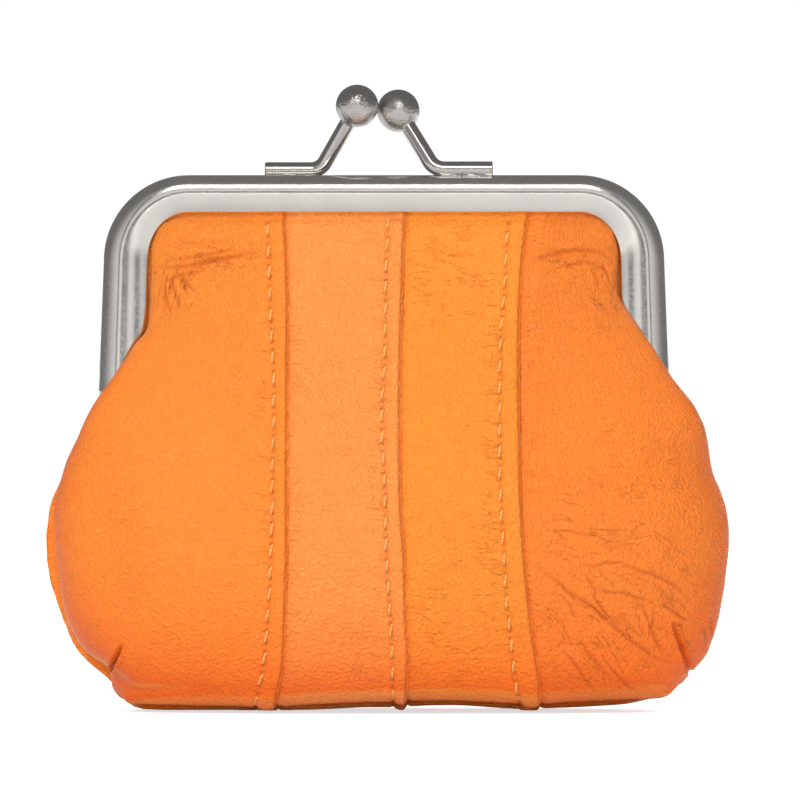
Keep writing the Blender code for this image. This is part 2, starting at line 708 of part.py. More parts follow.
def build_mouth_strip(name, index, rear, finish, pivot):
    """A leather strip of the mouth, from the hinge up into the channel."""
    rings = []
    for number, row in enumerate(mouth_rows()):
        left, right = strip_edges(index, within(MOUTH_LAP_ROWS, number), within(MOUTH_TUCK_ROWS, number))
        height = row[0] + (HINGE_CUT_GAP if number == 0 else 0.0)
        if left is None:
            ring = side_mouth_ring(row, -right[0][0], SIDE_COLUMNS, -1.0)
            ring.reverse()
            lapped = right[1][1]
            fold = [Vector((x, -mouth_depth(row, x) - lapped, height)) for x, lift in right[1:]]
            under = [Vector((point.x, point.y + LEATHER, height)) for point in fold]
            ring += fold + under[::-1]
        elif right is None:
            ring = side_mouth_ring(row, left, SIDE_COLUMNS, 1.0)
        else:
            reach = right[0][0] - left
            places = [(left + reach * step / MIDDLE_COLUMNS, 0.0) for step in range(MIDDLE_COLUMNS)]
            places += right
            outside = [Vector((x, -mouth_depth(row, x) - lift, height)) for x, lift in places]
            inside = [Vector((point.x, point.y + LEATHER, height)) for point in outside]
            ring = outside + inside[::-1]
        rings.append([Vector((point.x, point.y, height)) for point in ring])
    place_object(name, loft(flip_depth(rings) if rear else rings), finish, pivot.location.copy(), pivot)


def lining_ring(place, lift):
    """One closed ring of the pocket lining round both lobes at a row place."""
    quarter = 0.5 * math.pi
    front = []
    for step in range(1, LINING_COLUMNS * 2):
        turn = -quarter + math.pi * step / (LINING_COLUMNS * 2)
        point = lobe_point(turn, place) + lobe_normal(turn, place) * lift
        front.append(Vector((point.x, min(point.y, -LEATHER_GAP), point.z)))
    end = lobe_point(quarter, place) + lobe_normal(quarter, place) * lift
    right = Vector((end.x, 0.0, end.z))
    left = Vector((-end.x, 0.0, end.z))
    rear = [Vector((point.x, -point.y, point.z)) for point in reversed(front)]
    return [left] + front + [right] + rear


def lining_places():
    """Row places of the pocket lining from the bottom seam up to its top."""
    last = len(LOBE_ROW_SHARES) - 1
    heights = [share[0] * HINGE_Z for share in LOBE_ROW_SHARES]
    whole = list(range(LINING_BOTTOM_ROWS))
    whole += [row for row in range(LINING_BOTTOM_ROWS, last + 1) if heights[row] < LINING_TOP - LEATHER]
    top = whole[-1]
    part = (LINING_TOP - heights[top]) / (heights[top + 1] - heights[top])
    return whole + [top + part]


def build_pocket_lining(name, finish, pivot):
    """The lining of the pouch below the hinge: one pocket, open at its top."""
    shape = bmesh.new()
    places = lining_places()
    outer_lift = -(LEATHER + LEATHER_GAP)
    walls = []
    for lift in (outer_lift, outer_lift - LINING):
        walls.append([[shape.verts.new(point) for point in lining_ring(place, lift)] for place in places])
    count = len(walls[0][0])
    for wall in walls:
        for low, high in zip(wall, wall[1:]):
            for step in range(count):
                after = (step + 1) % count
                shape.faces.new((low[step], low[after], high[after], high[step]))
        bottom = wall[0]
        half = count // 2
        shape.faces.new((bottom[0], bottom[1], bottom[-1]))
        shape.faces.new((bottom[half - 1], bottom[half], bottom[half + 1]))
        for step in range(1, half - 1):
            shape.faces.new((bottom[step], bottom[step + 1], bottom[-step - 1], bottom[-step]))
    for step in range(count):
        after = (step + 1) % count
        shape.faces.new((walls[0][-1][step], walls[0][-1][after], walls[1][-1][after], walls[1][-1][step]))
    place_object(name, shape, finish, pivot.location.copy(), pivot)


def build_mouth_lining(name, rear, finish, pivot):
    """The lining of one half of the mouth, from the pocket's top up into the channel."""
    inset = LEATHER + LEATHER_GAP
    face = channel_leather_face() - inset
    foot_place = lining_places()[-1]
    foot_height, foot_depth, foot_width = lobe_sizes(foot_place)[:3]
    foot_edge = lobe_sizes(foot_place)[4] + LEATHER_GAP
    under_ear = HINGE_Z - EAR_RADIUS - LEATHER_GAP
    drawn_in = WINDOW_HALF_WIDTH - LIP_CLEARANCE - 3.0 * LIP_STEP
    rows = [
        (foot_height + LEATHER_GAP, foot_depth - inset, foot_width - 2.0 * inset, foot_edge),
        (under_ear, foot_depth - inset - LEATHER_GAP, drawn_in, face),
    ]
    for height, depth, width, edge in mouth_rows():
        rim = window_half_width(height) - LIP_CLEARANCE
        narrow = min(rim, width) - 3.0 * LIP_STEP
        rows.append((height, max(depth - inset, face), narrow, face))
    rings = []
    for row in rows:
        height, depth, width, edge = row
        flange = max(tuck_half_width(height), width + 2.0 * LIP_STEP)
        if height < under_ear:
            flange = width + LIP_STEP
        places = [-flange]
        places += [width * (step / LINING_COLUMNS - 1.0) for step in range(2 * LINING_COLUMNS + 1)]
        places.append(flange)
        outside = [Vector((x, -mouth_depth(row, x), height)) for x in places]
        inside = [Vector((point.x, point.y + LINING, point.z)) for point in outside]
        rings.append(outside + inside[::-1])
    place_object(name, loft(flip_depth(rings) if rear else rings), finish, pivot.location.copy(), pivot)


def build_purse():
    """Make every piece of the purse."""
    clear_scene()
    gunmetal = make_material("gunmetal", (0.30, 0.29, 0.27), 0.16, 1.0)
    paper = make_material("binding_cord", (0.62, 0.52, 0.38), 0.90, 0.0)
    cloth = make_material("lining", (0.10, 0.10, 0.11), 0.85, 0.0)
    tones = (
        make_material("leather_outer_left", (0.93, 0.27, 0.045), 0.45, 0.0),
        make_material("leather_inner_left", (0.95, 0.32, 0.070), 0.45, 0.0),
        make_material("leather_inner_right", (0.93, 0.29, 0.055), 0.45, 0.0),
        make_material("leather_outer_right", (0.90, 0.24, 0.035), 0.45, 0.0),
    )
    hinge = Vector((0.0, 0.0, HINGE_Z))
    pouch = make_pivot("pouch_origin", Vector((0.0, 0.0, 0.0)))
    halves = {"front": make_pivot("front_hinge_axis", hinge), "rear": make_pivot("rear_hinge_axis", hinge)}
    strips = ("outer_left", "inner_left", "inner_right", "outer_right")
    for side_name, pivot in halves.items():
        rear = side_name == "rear"
        build_frame(f"{side_name}_frame", rear, gunmetal, pivot)
        build_clasp(f"{side_name}_clasp_stem", f"{side_name}_clasp_ball", rear, gunmetal, pivot)
        build_binding_cord(f"{side_name}_binding_cord", rear, paper, pivot)
        for index, strip in enumerate(strips):
            build_mouth_strip(f"{side_name}_mouth_{strip}", index, rear, tones[index], pivot)
            build_lower_strip(f"{side_name}_panel_{strip}", index, rear, tones[index], pouch)
        build_mouth_lining(f"{side_name}_mouth_lining", rear, cloth, pivot)
    build_pocket_lining("pocket_lining", cloth, pouch)
    build_rivet("left_hinge_rivet", -1.0, gunmetal, pouch)
    build_rivet("right_hinge_rivet", 1.0, gunmetal, pouch)


build_purse()
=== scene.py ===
"""Looks of the kiss-lock coin purse: soft lapped leather, a dark nickel frame with its clasp, lining and studio.

Metres, +Z up, front towards -Y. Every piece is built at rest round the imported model.
"""

import json
import logging
import math
from dataclasses import dataclass, field, replace
from enum import Enum

import bpy
import numpy as np
from mathutils import Matrix, Vector
from mathutils.bvhtree import BVHTree

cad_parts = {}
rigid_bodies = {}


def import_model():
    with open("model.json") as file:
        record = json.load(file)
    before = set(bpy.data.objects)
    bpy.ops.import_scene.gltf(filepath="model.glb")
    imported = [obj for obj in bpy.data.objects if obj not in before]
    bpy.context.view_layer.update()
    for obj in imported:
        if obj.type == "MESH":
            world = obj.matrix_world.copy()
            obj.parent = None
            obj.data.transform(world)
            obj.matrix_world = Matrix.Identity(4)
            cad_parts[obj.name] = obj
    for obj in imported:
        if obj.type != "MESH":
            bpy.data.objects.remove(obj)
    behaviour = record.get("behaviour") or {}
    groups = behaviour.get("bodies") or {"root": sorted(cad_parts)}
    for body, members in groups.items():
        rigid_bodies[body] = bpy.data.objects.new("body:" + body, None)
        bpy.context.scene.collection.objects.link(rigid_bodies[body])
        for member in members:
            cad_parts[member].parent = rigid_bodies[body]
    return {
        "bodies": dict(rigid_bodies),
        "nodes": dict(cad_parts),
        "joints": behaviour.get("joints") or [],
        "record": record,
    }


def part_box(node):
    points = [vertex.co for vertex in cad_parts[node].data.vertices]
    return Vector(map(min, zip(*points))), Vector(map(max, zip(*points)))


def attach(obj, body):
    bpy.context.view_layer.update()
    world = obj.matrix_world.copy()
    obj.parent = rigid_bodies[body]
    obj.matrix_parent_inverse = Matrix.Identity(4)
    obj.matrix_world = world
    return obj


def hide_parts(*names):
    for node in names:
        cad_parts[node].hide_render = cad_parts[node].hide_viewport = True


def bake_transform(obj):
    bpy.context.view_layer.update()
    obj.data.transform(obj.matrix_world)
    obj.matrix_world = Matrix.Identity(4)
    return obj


MM = 0.001
LOG = logging.getLogger("coin_purse")
# Short names of types
Socket = bpy.types.NodeSocket
Value = Socket | float
Piece = bpy.types.Object
Finish = bpy.types.Material
Grid = np.ndarray
Triple = tuple[float, float, float]

HINGE_Z = 42.0 * MM
LOBE_DEPTH = 17.6 * MM
LEATHER = 0.9 * MM
WINDOW_TOP = 70.25 * MM


class Half(Enum):
    """The two halves of the purse, with the sign of y on which each lies."""

    FRONT = -1.0
    REAR = 1.0

    @property
    def word(self) -> str:
        """The half's name in node and body names."""
        return self.name.lower()

    @property
    def body(self) -> str:
        """The body that this half of the frame belongs to."""
        return f"{self.word}_half"


class Strip(Enum):
    """The leather strips of a half, from left to right as seen from the front."""

    OUTER_LEFT = 0
    INNER_LEFT = 1
    INNER_RIGHT = 2
    OUTER_RIGHT = 3

    @property
    def word(self) -> str:
        """The strip's name in node and slot names."""
        return self.name.lower()


def ease(share: Grid) -> Grid:
    """Ease from 0 to 1 with level ends."""
    held = np.clip(share, 0.0, 1.0)
    return held * held * (3.0 - 2.0 * held)


def bell(share: Grid) -> Grid:
    """A bell curve that is 1 at 0 and has almost gone at 2."""
    return np.exp(-(share**2))


def running(steps: Grid) -> Grid:
    """Running total of steps, from 0."""
    return np.concatenate(([0.0], np.cumsum(steps)))


def run_along(points: Grid) -> Grid:
    """Distance run along a line of points, from 0."""
    return running(np.linalg.norm(np.diff(points, axis=0), axis=1))


def drawn_in(height: Grid, start: float, radius: float) -> Grid:
    """How far a rounded corner that starts at one height has drawn the edge in at others."""
    rise = np.clip((height - start) / radius, 0.0, 0.995)
    return radius * (1.0 - np.sqrt(1.0 - rise * rise))


@dataclass(frozen=True)
class Track:
    """A smooth curve of one value over another, through measured places in millimetres."""

    places: tuple[float, ...]
    values: tuple[float, ...]

    def at(self, place: Grid) -> Grid:
        """Read the curve."""
        return hermite(np.array(self.places) * MM, np.array(self.values) * MM, place)


def hermite(knots: Grid, values: Grid, place: Grid) -> Grid:
    """Read a smooth curve through knots that keeps its ends level outside them.

    Args:
        knots: Rising places of the knots.
        values: Values at the knots.
        place: Where to read the curve.

    Returns:
        The values at the places.
    """
    slopes = np.gradient(values, knots)
    steps = np.diff(values) / np.diff(knots)
    for index, step in enumerate(steps):
        limit = 3.0 * abs(step)
        for end in (index, index + 1):
            slopes[end] = math.copysign(min(abs(slopes[end]), limit), slopes[end])
            if slopes[end] * step < 0.0:
                slopes[end] = 0.0
    held = np.clip(place, knots[0], knots[-1])
    left = np.clip(np.searchsorted(knots, held, side="right") - 1, 0, len(knots) - 2)
    span = knots[left + 1] - knots[left]
    part = (held - knots[left]) / span
    square, cube = part * part, part**3
    return (
        (2.0 * cube - 3.0 * square + 1.0) * values[left]
        + (cube - 2.0 * square + part) * slopes[left] * span
        + (3.0 * square - 2.0 * cube) * values[left + 1]
        + (cube - square) * slopes[left + 1] * span
    )


@dataclass(frozen=True)
class Ripple:
    """A smooth uneven field, the sum of seeded waves in many directions."""

    seed: int
    wavelength: float
    waves: int = 9
    stretch: tuple[float, float] = (1.0, 1.0)

    def at(self, across: Grid, up: Grid) -> Grid:
        """Read the field.

        Args:
            across: Place across the leather, in metres.
            up: Place up the leather, in metres.

        Returns:
            Values of about -1 to 1.
        """
        draw = np.random.default_rng(self.seed)
        total = np.zeros(np.broadcast(across, up).shape)
        for _ in range(self.waves):
            turn = draw.uniform(0.0, math.tau)
            pitch = self.wavelength * draw.uniform(0.7, 1.6)
            phase = draw.uniform(0.0, math.tau)
            way = across * math.cos(turn) * self.stretch[0] + up * math.sin(turn) * self.stretch[1]
            total += np.sin(math.tau * way / pitch + phase)
        return total / math.sqrt(self.waves * 0.5) * 0.6


# Rows of the leather's middle section, from the bottom seam over the lobe to the hinge. All are shares: of the
# hinge's height, of the lobe's depth, of the hinge's height at the side, and of the lobe's depth at the side.
LOBE_ROWS = np.array((
    (0.036, 0.001, 0.036, 0.0005),
    (0.012, 0.091, 0.040, 0.0005),
    (0.000, 0.205, 0.052, 0.0005),
    (0.000, 0.591, 0.076, 0.0005),
    (0.021, 0.756, 0.114, 0.0005),
    (0.076, 0.869, 0.160, 0.0005),
    (0.167, 0.949, 0.221, 0.0005),
    (0.298, 0.989, 0.329, 0.0005),
    (0.452, 1.000, 0.452, 0.0005),
    (0.595, 0.972, 0.595, 0.0005),
    (0.714, 0.926, 0.714, 0.0005),
    (0.821, 0.864, 0.821, 0.0005),
    (0.905, 0.801, 0.905, 0.1360),
    (1.000, 0.722, 1.000, 0.2840),
))
# The rear lobe hangs lower behind the front one, so its first rows fall more steeply from the seam
REAR_LOW_ROWS = np.array((
    (0.058, 0.001, 0.038, 0.0005),
    (0.025, 0.022, 0.034, 0.0005),
    (0.008, 0.052, 0.036, 0.0005),
    (0.000, 0.150, 0.048, 0.0005),
))
# Rows of the mouth above the hinge: shares of the way to the window's top, and of the lobe's depth
MOUTH_ROWS = np.array((
    (0.080, 0.676),
    (0.165, 0.631),
    (0.250, 0.585),
    (0.335, 0.540),
    (0.412, 0.500),
    (0.530, 0.438),
    (0.655, 0.375),
    (0.780, 0.318),
    (0.868, 0.278),
    (0.935, 0.236),
))
# Rows inside the channel: heights and depths in metres
CHANNEL_ROWS = ((69.25 * MM, 3.40 * MM), (70.05 * MM, 3.01 * MM), (72.90 * MM, 3.01 * MM))
IN_CHANNEL = 3.01 * MM
# The edge of the leather in the channel: half-width on the arms, and where the arch's corner starts and its radius
TUCK_EDGE = 36.6 * MM
TUCK_START = 63.6 * MM
TUCK_CORNER = 9.3 * MM
SHOULDER_BACK = 4.62 * MM
SHOULDER_FACE = 5.40 * MM
WINDOW_EDGE = 32.9 * MM
WINDOW_CORNER = 5.4 * MM

# The half-width follows the rounded arch at the top: heights and half-widths in millimetres
ARCH_PLACES = (64.8, 66.0, 67.0, 68.0, 69.0, 69.7, 72.9)
ARCH_WIDTHS = (32.9, 32.75, 32.4, 31.9, 30.9, 29.8, 25.9)


def width_track(places: tuple[float, ...], values: tuple[float, ...]) -> Track:
    """A half-width over height that ends in the arch."""
    return Track(places + ARCH_PLACES, values + ARCH_WIDTHS)


FRONT_LEFT_WIDTH = width_track(
    (1.0, 1.7, 2.8, 4.5, 5.4, 6.2, 6.9, 7.9, 9.6, 11.3, 13.0, 14.6, 18.0, 21.4, 25.0, 28.2, 29.9, 31.5, 33.2, 34.9,
     36.6, 38.3, 40.0, 41.7, 43.4, 45.1, 46.7, 48.4, 50.1, 51.8, 53.4, 56.0),
    (35.4, 37.0, 38.1, 38.5, 38.5, 38.7, 40.0, 41.5, 43.0, 43.9, 44.6, 45.0, 45.7, 46.2, 46.4, 46.7, 46.5, 46.1,
     45.6, 45.06, 44.35, 43.5, 42.7, 41.7, 40.6, 39.4, 38.2, 37.0, 35.8, 34.6, 33.3, 32.9),
)
FRONT_RIGHT_WIDTH = width_track(
    (1.0, 1.5, 2.5, 3.2, 3.8, 4.6, 5.4, 6.2, 6.9, 7.9, 9.6, 11.3, 13.0, 14.6, 16.3, 18.0, 19.7, 21.4, 23.1, 24.8,
     26.5, 28.2, 29.9, 31.5, 33.2, 34.9, 36.6, 38.3, 40.0, 41.7, 43.4, 45.1, 46.7, 48.4, 50.1, 51.8, 53.5, 55.2,
     56.9, 58.6, 61.0),
    (34.0, 36.0, 39.2, 40.6, 41.9, 42.7, 43.2, 44.2, 44.9, 45.6, 46.3, 46.9, 47.3, 47.6, 47.9, 48.2, 48.4, 48.6,
     48.7, 48.7, 48.6, 48.4, 48.0, 47.4, 46.6, 46.1, 45.8, 45.5, 45.1, 44.3, 43.4, 42.1, 40.8, 39.7, 38.6, 37.6,
     36.5, 35.4, 34.3, 33.2, 32.9),
)
REAR_LEFT_WIDTH = width_track(
    (1.2, 2.2, 4.0, 5.0, 6.2, 7.9, 9.6, 11.3, 13.0, 14.6, 16.3, 18.0, 19.7, 21.4, 24.8, 26.5, 28.2, 29.9, 31.5, 33.2,
     34.9, 36.6, 38.3, 40.0, 41.7, 43.4, 45.1, 46.7, 48.4, 50.1, 51.8, 53.4, 56.0),
    (35.4, 36.8, 38.4, 39.4, 40.9, 42.8, 44.1, 44.9, 45.6, 46.2, 46.7, 47.2, 47.4, 47.6, 47.6, 47.4, 47.2, 46.7,
     46.0, 45.4, 44.8, 44.1, 43.2, 42.3, 41.3, 40.3, 39.1, 37.9, 36.7, 35.5, 34.3, 33.2, 32.9),
)
REAR_RIGHT_WIDTH = width_track(
    (1.5, 2.5, 3.8, 5.6, 7.9, 11.3, 14.6, 18.0, 21.4, 25.0, 28.2, 31.5, 34.9, 38.3, 41.7, 45.1, 48.4, 51.8, 55.2,
     58.6, 61.0),
    (35.0, 38.5, 40.8, 42.4, 44.0, 45.6, 46.3, 47.0, 47.6, 47.9, 47.8, 46.9, 45.6, 45.0, 43.9, 41.7, 39.3, 37.2,
     35.0, 33.1, 32.9),
)
FRONT_BOTTOM = Track(
    (-36.0, -29.0, -22.0, -15.5, -9.0, 0.0, 8.0, 17.0, 21.5, 27.0, 33.0, 38.0),
    (1.20, 1.10, 1.00, 0.95, 1.30, 1.65, 1.80, 1.50, 1.35, 1.60, 1.80, 1.90),
)
REAR_BOTTOM = Track(
    (-36.0, -32.0, -28.0, -12.0, -3.0, 4.0, 10.0, 17.0, 24.0, 30.0, 34.0, 38.0),
    (0.35, 0.10, 0.05, 0.05, 0.40, 0.60, 0.70, 0.35, 0.35, 0.60, 0.90, 1.50),
)
FOLD_TRACKS = (
    Track((1.55, 7.0, 13.1, 22.4, 37.6, 59.4, 63.1, 70.0),
          (-15.35, -14.2, -13.94, -13.66, -13.66, -13.66, -13.8, -14.2)),
    Track((1.55, 8.6, 13.1, 22.4, 28.4, 37.6, 44.1, 53.4, 62.5, 69.8),
          (2.96, 3.24, 2.96, 2.68, 2.25, 2.11, 2.11, 2.25, 2.53, 2.82)),
    Track((1.0, 2.5, 7.6, 14.6, 23.8, 28.4, 39.1, 46.2, 59.0, 63.4, 70.1),
          (21.7, 21.7, 21.1, 20.13, 19.29, 19.0, 18.8, 18.73, 19.0, 19.29, 20.13)),
)
STITCH_TRACKS = (
    Track((1.55, 7.0, 13.1, 17.5, 25.2, 36.2, 43.6, 53.4, 64.9, 68.6),
          (-18.0, -16.76, -16.25, -15.91, -15.63, -15.49, -15.35, -15.77, -16.2, -16.33)),
    Track((1.0, 7.5, 13.5, 20.8, 31.5, 42.0, 50.3, 61.5, 68.9),
          (1.27, 1.13, 0.93, 0.42, 0.14, -0.28, 0.14, 0.28, 0.56)),
    Track((1.5, 4.9, 10.4, 15.9, 22.1, 29.5, 39.6, 45.4, 53.9, 59.4, 65.5, 70.0),
          (19.0, 18.3, 17.74, 17.12, 16.76, 16.33, 16.19, 16.25, 16.47, 16.97, 17.25, 17.68)),
)


@dataclass(frozen=True)
class Crease:
    """A wrinkle along a line on the front of the leather, in millimetres seen from the front."""

    line: tuple[tuple[float, float], ...]
    depth: float
    width: float
    # How strong the painted shade in the crease's valley is
    dark: float = 0.5
    ridge: float = 0.35

    def spans(self) -> list[tuple[Grid, Grid, float, float]]:
        """The line's stretches, each with the share of the whole at its two ends.

        Returns:
            One entry for each stretch: its two ends and the shares at them.
        """
        points = np.array(self.line) * MM
        lengths = np.hypot(*np.diff(points, axis=0).T)
        places = running(lengths) / lengths.sum()
        return [(points[i], points[i + 1], places[i], places[i + 1]) for i in range(len(points) - 1)]

    def press(self, across: Grid, up: Grid) -> tuple[Grid, Grid]:
        """How far the crease presses the leather in, and the painted shade in its valley.

        Args:
            across: x of the points, in metres.
            up: z of the points, in metres.

        Returns:
            The push outwards in metres, below zero in the crease, and the painted shade from 0 to 1.
        """
        nearest = np.full(across.shape, 1.0)
        share = np.zeros(across.shape)
        for start, end, low, high in self.spans():
            way = end - start
            part = ((across - start[0]) * way[0] + (up - start[1]) * way[1]) / (way @ way)
            part = np.clip(part, 0.0, 1.0)
            gap = np.hypot(across - start[0] - part * way[0], up - start[1] - part * way[1])
            closer = gap < nearest
            nearest = np.where(closer, gap, nearest)
            share = np.where(closer, low + (high - low) * part, share)
        strength = np.clip(np.sin(math.pi * np.clip(share, 0.02, 0.98)), 0.0, 1.0) ** 0.5
        reach = nearest / (self.width * MM)
        valley = bell(reach)
        bank = self.ridge * bell(reach - 2.0)
        # Painted shade in the valley
        return self.depth * MM * strength * (bank - valley), self.dark * strength * valley


class RowTable:
    """Heights and depths of the leather's middle and side, row by row, read as smooth curves."""

    def __init__(self, half: Half) -> None:
        """Join the rows of the lobe, the mouth and the channel.

        Args:
            half: The half that the rows are for.
        """
        shares = LOBE_ROWS if half is Half.FRONT else np.concatenate((REAR_LOW_ROWS, LOBE_ROWS[3:]))
        lobe = shares * np.array([HINGE_Z, LOBE_DEPTH, HINGE_Z, LOBE_DEPTH])
        rows = [tuple(row) for row in lobe]
        for height_share, depth_share in MOUTH_ROWS:
            height = HINGE_Z + (WINDOW_TOP - HINGE_Z) * height_share
            lip = IN_CHANNEL + 0.45 * MM
            edge = lip + (SHOULDER_FACE - lip) * float(ease(np.array(4.0 * (0.56 - height_share))))
            rows.append((height, depth_share * LOBE_DEPTH, height, edge))
        rows += [(height, depth, height, depth) for height, depth in CHANNEL_ROWS]
        self.rows = np.array(rows)
        self.places = np.arange(len(rows), dtype=float)
        self.last_lobe = float(len(lobe) - 1)

    def read(self, place: Grid) -> tuple[Grid, Grid, Grid, Grid]:
        """Middle height, depth, side height and side depth at row places."""
        columns = [hermite(self.places, self.rows[:, index], place) for index in range(4)]
        return columns[0], columns[1], columns[2], columns[3]

    def even_places(self, pitch: float, close: tuple[tuple[float, float], ...] = ()) -> Grid:
        """Row places an even distance apart along the leather's middle.

        Args:
            pitch: Distance from row to row, in metres.
            close: Lowest and highest height of each stretch on which the rows stand closer together.

        Returns:
            The row places, from the bottom seam to the leather's top edge.
        """
        fine = np.linspace(0.0, self.places[-1], 2400)
        height, depth, _, _ = self.read(fine)
        steps = np.hypot(np.diff(height), np.diff(depth))
        for low, high in close:
            inside = ease((height[1:] - low) / (3.0 * MM) + 1.0) * ease((high - height[1:]) / (3.0 * MM) + 1.0)
            steps = steps * (1.0 + 0.75 * inside)
        run = running(steps)
        count = int(round(run[-1] / pitch))
        return np.interp(np.linspace(0.0, run[-1], count + 1), run, fine)


class LeatherSkin:
    """The outer face of one half's leather: a full lobe below the hinge that narrows into the frame above it."""

    power = 2.6

    def __init__(self, half: Half) -> None:
        """Take the outlines of one half.

        Args:
            half: The half that the skin covers.
        """
        self.half = half
        front = half is Half.FRONT
        self.table = RowTable(half)
        self.left = FRONT_LEFT_WIDTH if front else REAR_LEFT_WIDTH
        self.right = FRONT_RIGHT_WIDTH if front else REAR_RIGHT_WIDTH
        self.bottom = FRONT_BOTTOM if front else REAR_BOTTOM

    def face(self, place: Grid, across: Grid) -> tuple[Grid, Grid]:
        """Depth and height of the skin, before any wrinkle.

        Args:
            place: Row places.
            across: x of the points, in metres.

        Returns:
            The depth, which grows towards the viewer, and the height, in metres.
        """
        height, depth, side, edge = self.table.read(place)
        width = np.where(across < 0.0, self.left.at(side), self.right.at(side))
        share = np.clip(np.abs(across) / width, 0.0, 1.0)
        out = edge + (depth - edge) * (1.0 - share**self.power) ** (1.0 / self.power)
        settle = np.clip(1.0 - height / (20.0 * MM), 0.0, 1.0) ** 2
        low = height + self.bottom.at(across) * settle
        start = 0.93 - 0.09 * ease((height - 0.5 * MM) / (4.0 * MM))
        lift = ease((share - start) / (1.0 - start))
        return out, low + (np.maximum(side, low * 0.999) - low) * lift

    def half_width(self, place: Grid, left: bool) -> Grid:
        """Half-width on one side at row places, in metres."""
        side = self.table.read(place)[2]
        return self.left.at(side) if left else self.right.at(side)

    def x_at_turn(self, place: Grid, turn: Grid, left: bool) -> Grid:
        """x at a turn round the lobe, where a quarter turn is the side seam."""
        reach = np.abs(np.sin(turn)) ** (2.0 / self.power) * self.half_width(place, left)
        return -reach if left else reach

    def turn_at_x(self, place: Grid, across: Grid, left: bool) -> Grid:
        """Turn round the lobe at an x."""
        share = np.clip(np.abs(across) / self.half_width(place, left), 0.0, 1.0)
        return np.arcsin(share ** (0.5 * self.power))


def normals_of(points: Grid) -> Grid:
    """Directions square to a net of points.

    Args:
        points: Rows by columns by three.

    Returns:
        Unit directions of the same shape, pointing away from the purse's inside on the front half.
    """
    along = np.gradient(points, axis=1)
    up = np.gradient(points, axis=0)
    raw = np.cross(along, up)
    length = np.linalg.norm(raw, axis=2, keepdims=True)
    return raw / np.maximum(length, 1e-12)


@dataclass(frozen=True)
class SheetNet:
    """A net of points that closes round a leather strip: outer face, right edge, inner face, left edge."""

    points: Grid
    across: Grid
    along: Grid
    shade: Grid
    dark: Grid
    worn: Grid


def deselect_all() -> None:
    """Leave no object selected, in object mode."""
    if bpy.context.object is not None and bpy.context.object.mode != "OBJECT":
        bpy.ops.object.mode_set(mode="OBJECT")
    bpy.ops.object.select_all(action="DESELECT")


def select_only(piece: Piece) -> None:
    """Select one object and make it the active one.

    Args:
        piece: The object to work on.
    """
    deselect_all()
    piece.select_set(True)
    bpy.context.view_layer.objects.active = piece


def clean_mesh(piece: Piece, gap: float = 1e-7) -> None:
    """Merge points that coincide, and turn all faces outwards.

    Args:
        piece: The object to clean.
        gap: Distance under which points are merged, in metres.
    """
    select_only(piece)
    bpy.ops.object.mode_set(mode="EDIT")
    bpy.ops.mesh.select_all(action="SELECT")
    bpy.ops.mesh.remove_doubles(threshold=gap)
    bpy.ops.mesh.select_all(action="SELECT")
    bpy.ops.mesh.normals_make_consistent(inside=False)
    bpy.ops.object.mode_set(mode="OBJECT")


def lay_net(name: str, net: SheetNet) -> Piece:
    """Lay a grid over a net of points, with its UV map in tenths of a metre and its attributes.

    Args:
        name: Name of the new piece.
        net: The points, with their places along both ways.

    Returns:
        The new piece, closed and turned outwards.
    """
    rows, columns = net.points.shape[:2]
    deselect_all()
    bpy.ops.mesh.primitive_grid_add(x_subdivisions=columns - 1, y_subdivisions=rows - 1, size=2.0)
    piece = bpy.context.object
    piece.name = name
    mesh = piece.data
    mesh.name = name
    flat = np.empty(len(mesh.vertices) * 3)
    mesh.vertices.foreach_get("co", flat)
    flat = flat.reshape(-1, 3)
    column = np.rint((flat[:, 0] + 1.0) * 0.5 * (columns - 1)).astype(int)
    row = np.rint((flat[:, 1] + 1.0) * 0.5 * (rows - 1)).astype(int)
    mesh.vertices.foreach_set("co", net.points[row, column].astype(np.float32).ravel())
    corner = np.empty(len(mesh.loops), dtype=int)
    mesh.loops.foreach_get("vertex_index", corner)
    layout = mesh.uv_layers.active or mesh.uv_layers.new(name="leather")
    layout.name = "leather"
    places = np.stack((net.across[column[corner]], net.along[row[corner]]), axis=1) * 10.0
    layout.data.foreach_set("uv", places.astype(np.float32).ravel())
    for word, values in (("shade", net.shade), ("dark", net.dark)):
        layer = mesh.attributes.new(word, "FLOAT", "POINT")
        layer.data.foreach_set("value", values[row, column].astype(np.float32))
    worn = mesh.attributes.new("worn", "FLOAT_VECTOR", "POINT")
    worn.data.foreach_set("vector", net.worn[row, column].astype(np.float32).ravel())
    mesh.update()
    clean_mesh(piece)
    mesh.shade_smooth()
    return piece


@dataclass(frozen=True)
class Seam:
    """A lapped seam: the folded edge of the strip on its left, sewn down over the strip on its right."""

    fold: Track
    stitch: Track
    pitch: float = 3.0 * MM
    thread: float = 1.75 * MM
    phase: float = 0.4 * MM

    def heights(self) -> Grid:
        """Heights of the middles of the stitches, from the bottom up.

        Returns:
            One height for each stitch, in metres.
        """
        low = 1.9 * MM + self.phase
        count = int((69.2 * MM - low) / self.pitch)
        return low + self.pitch * np.arange(count + 1)


SEAMS = tuple(
    Seam(fold, stitch, phase=0.9 * MM * index)
    for index, (fold, stitch) in enumerate(zip(FOLD_TRACKS, STITCH_TRACKS))
)


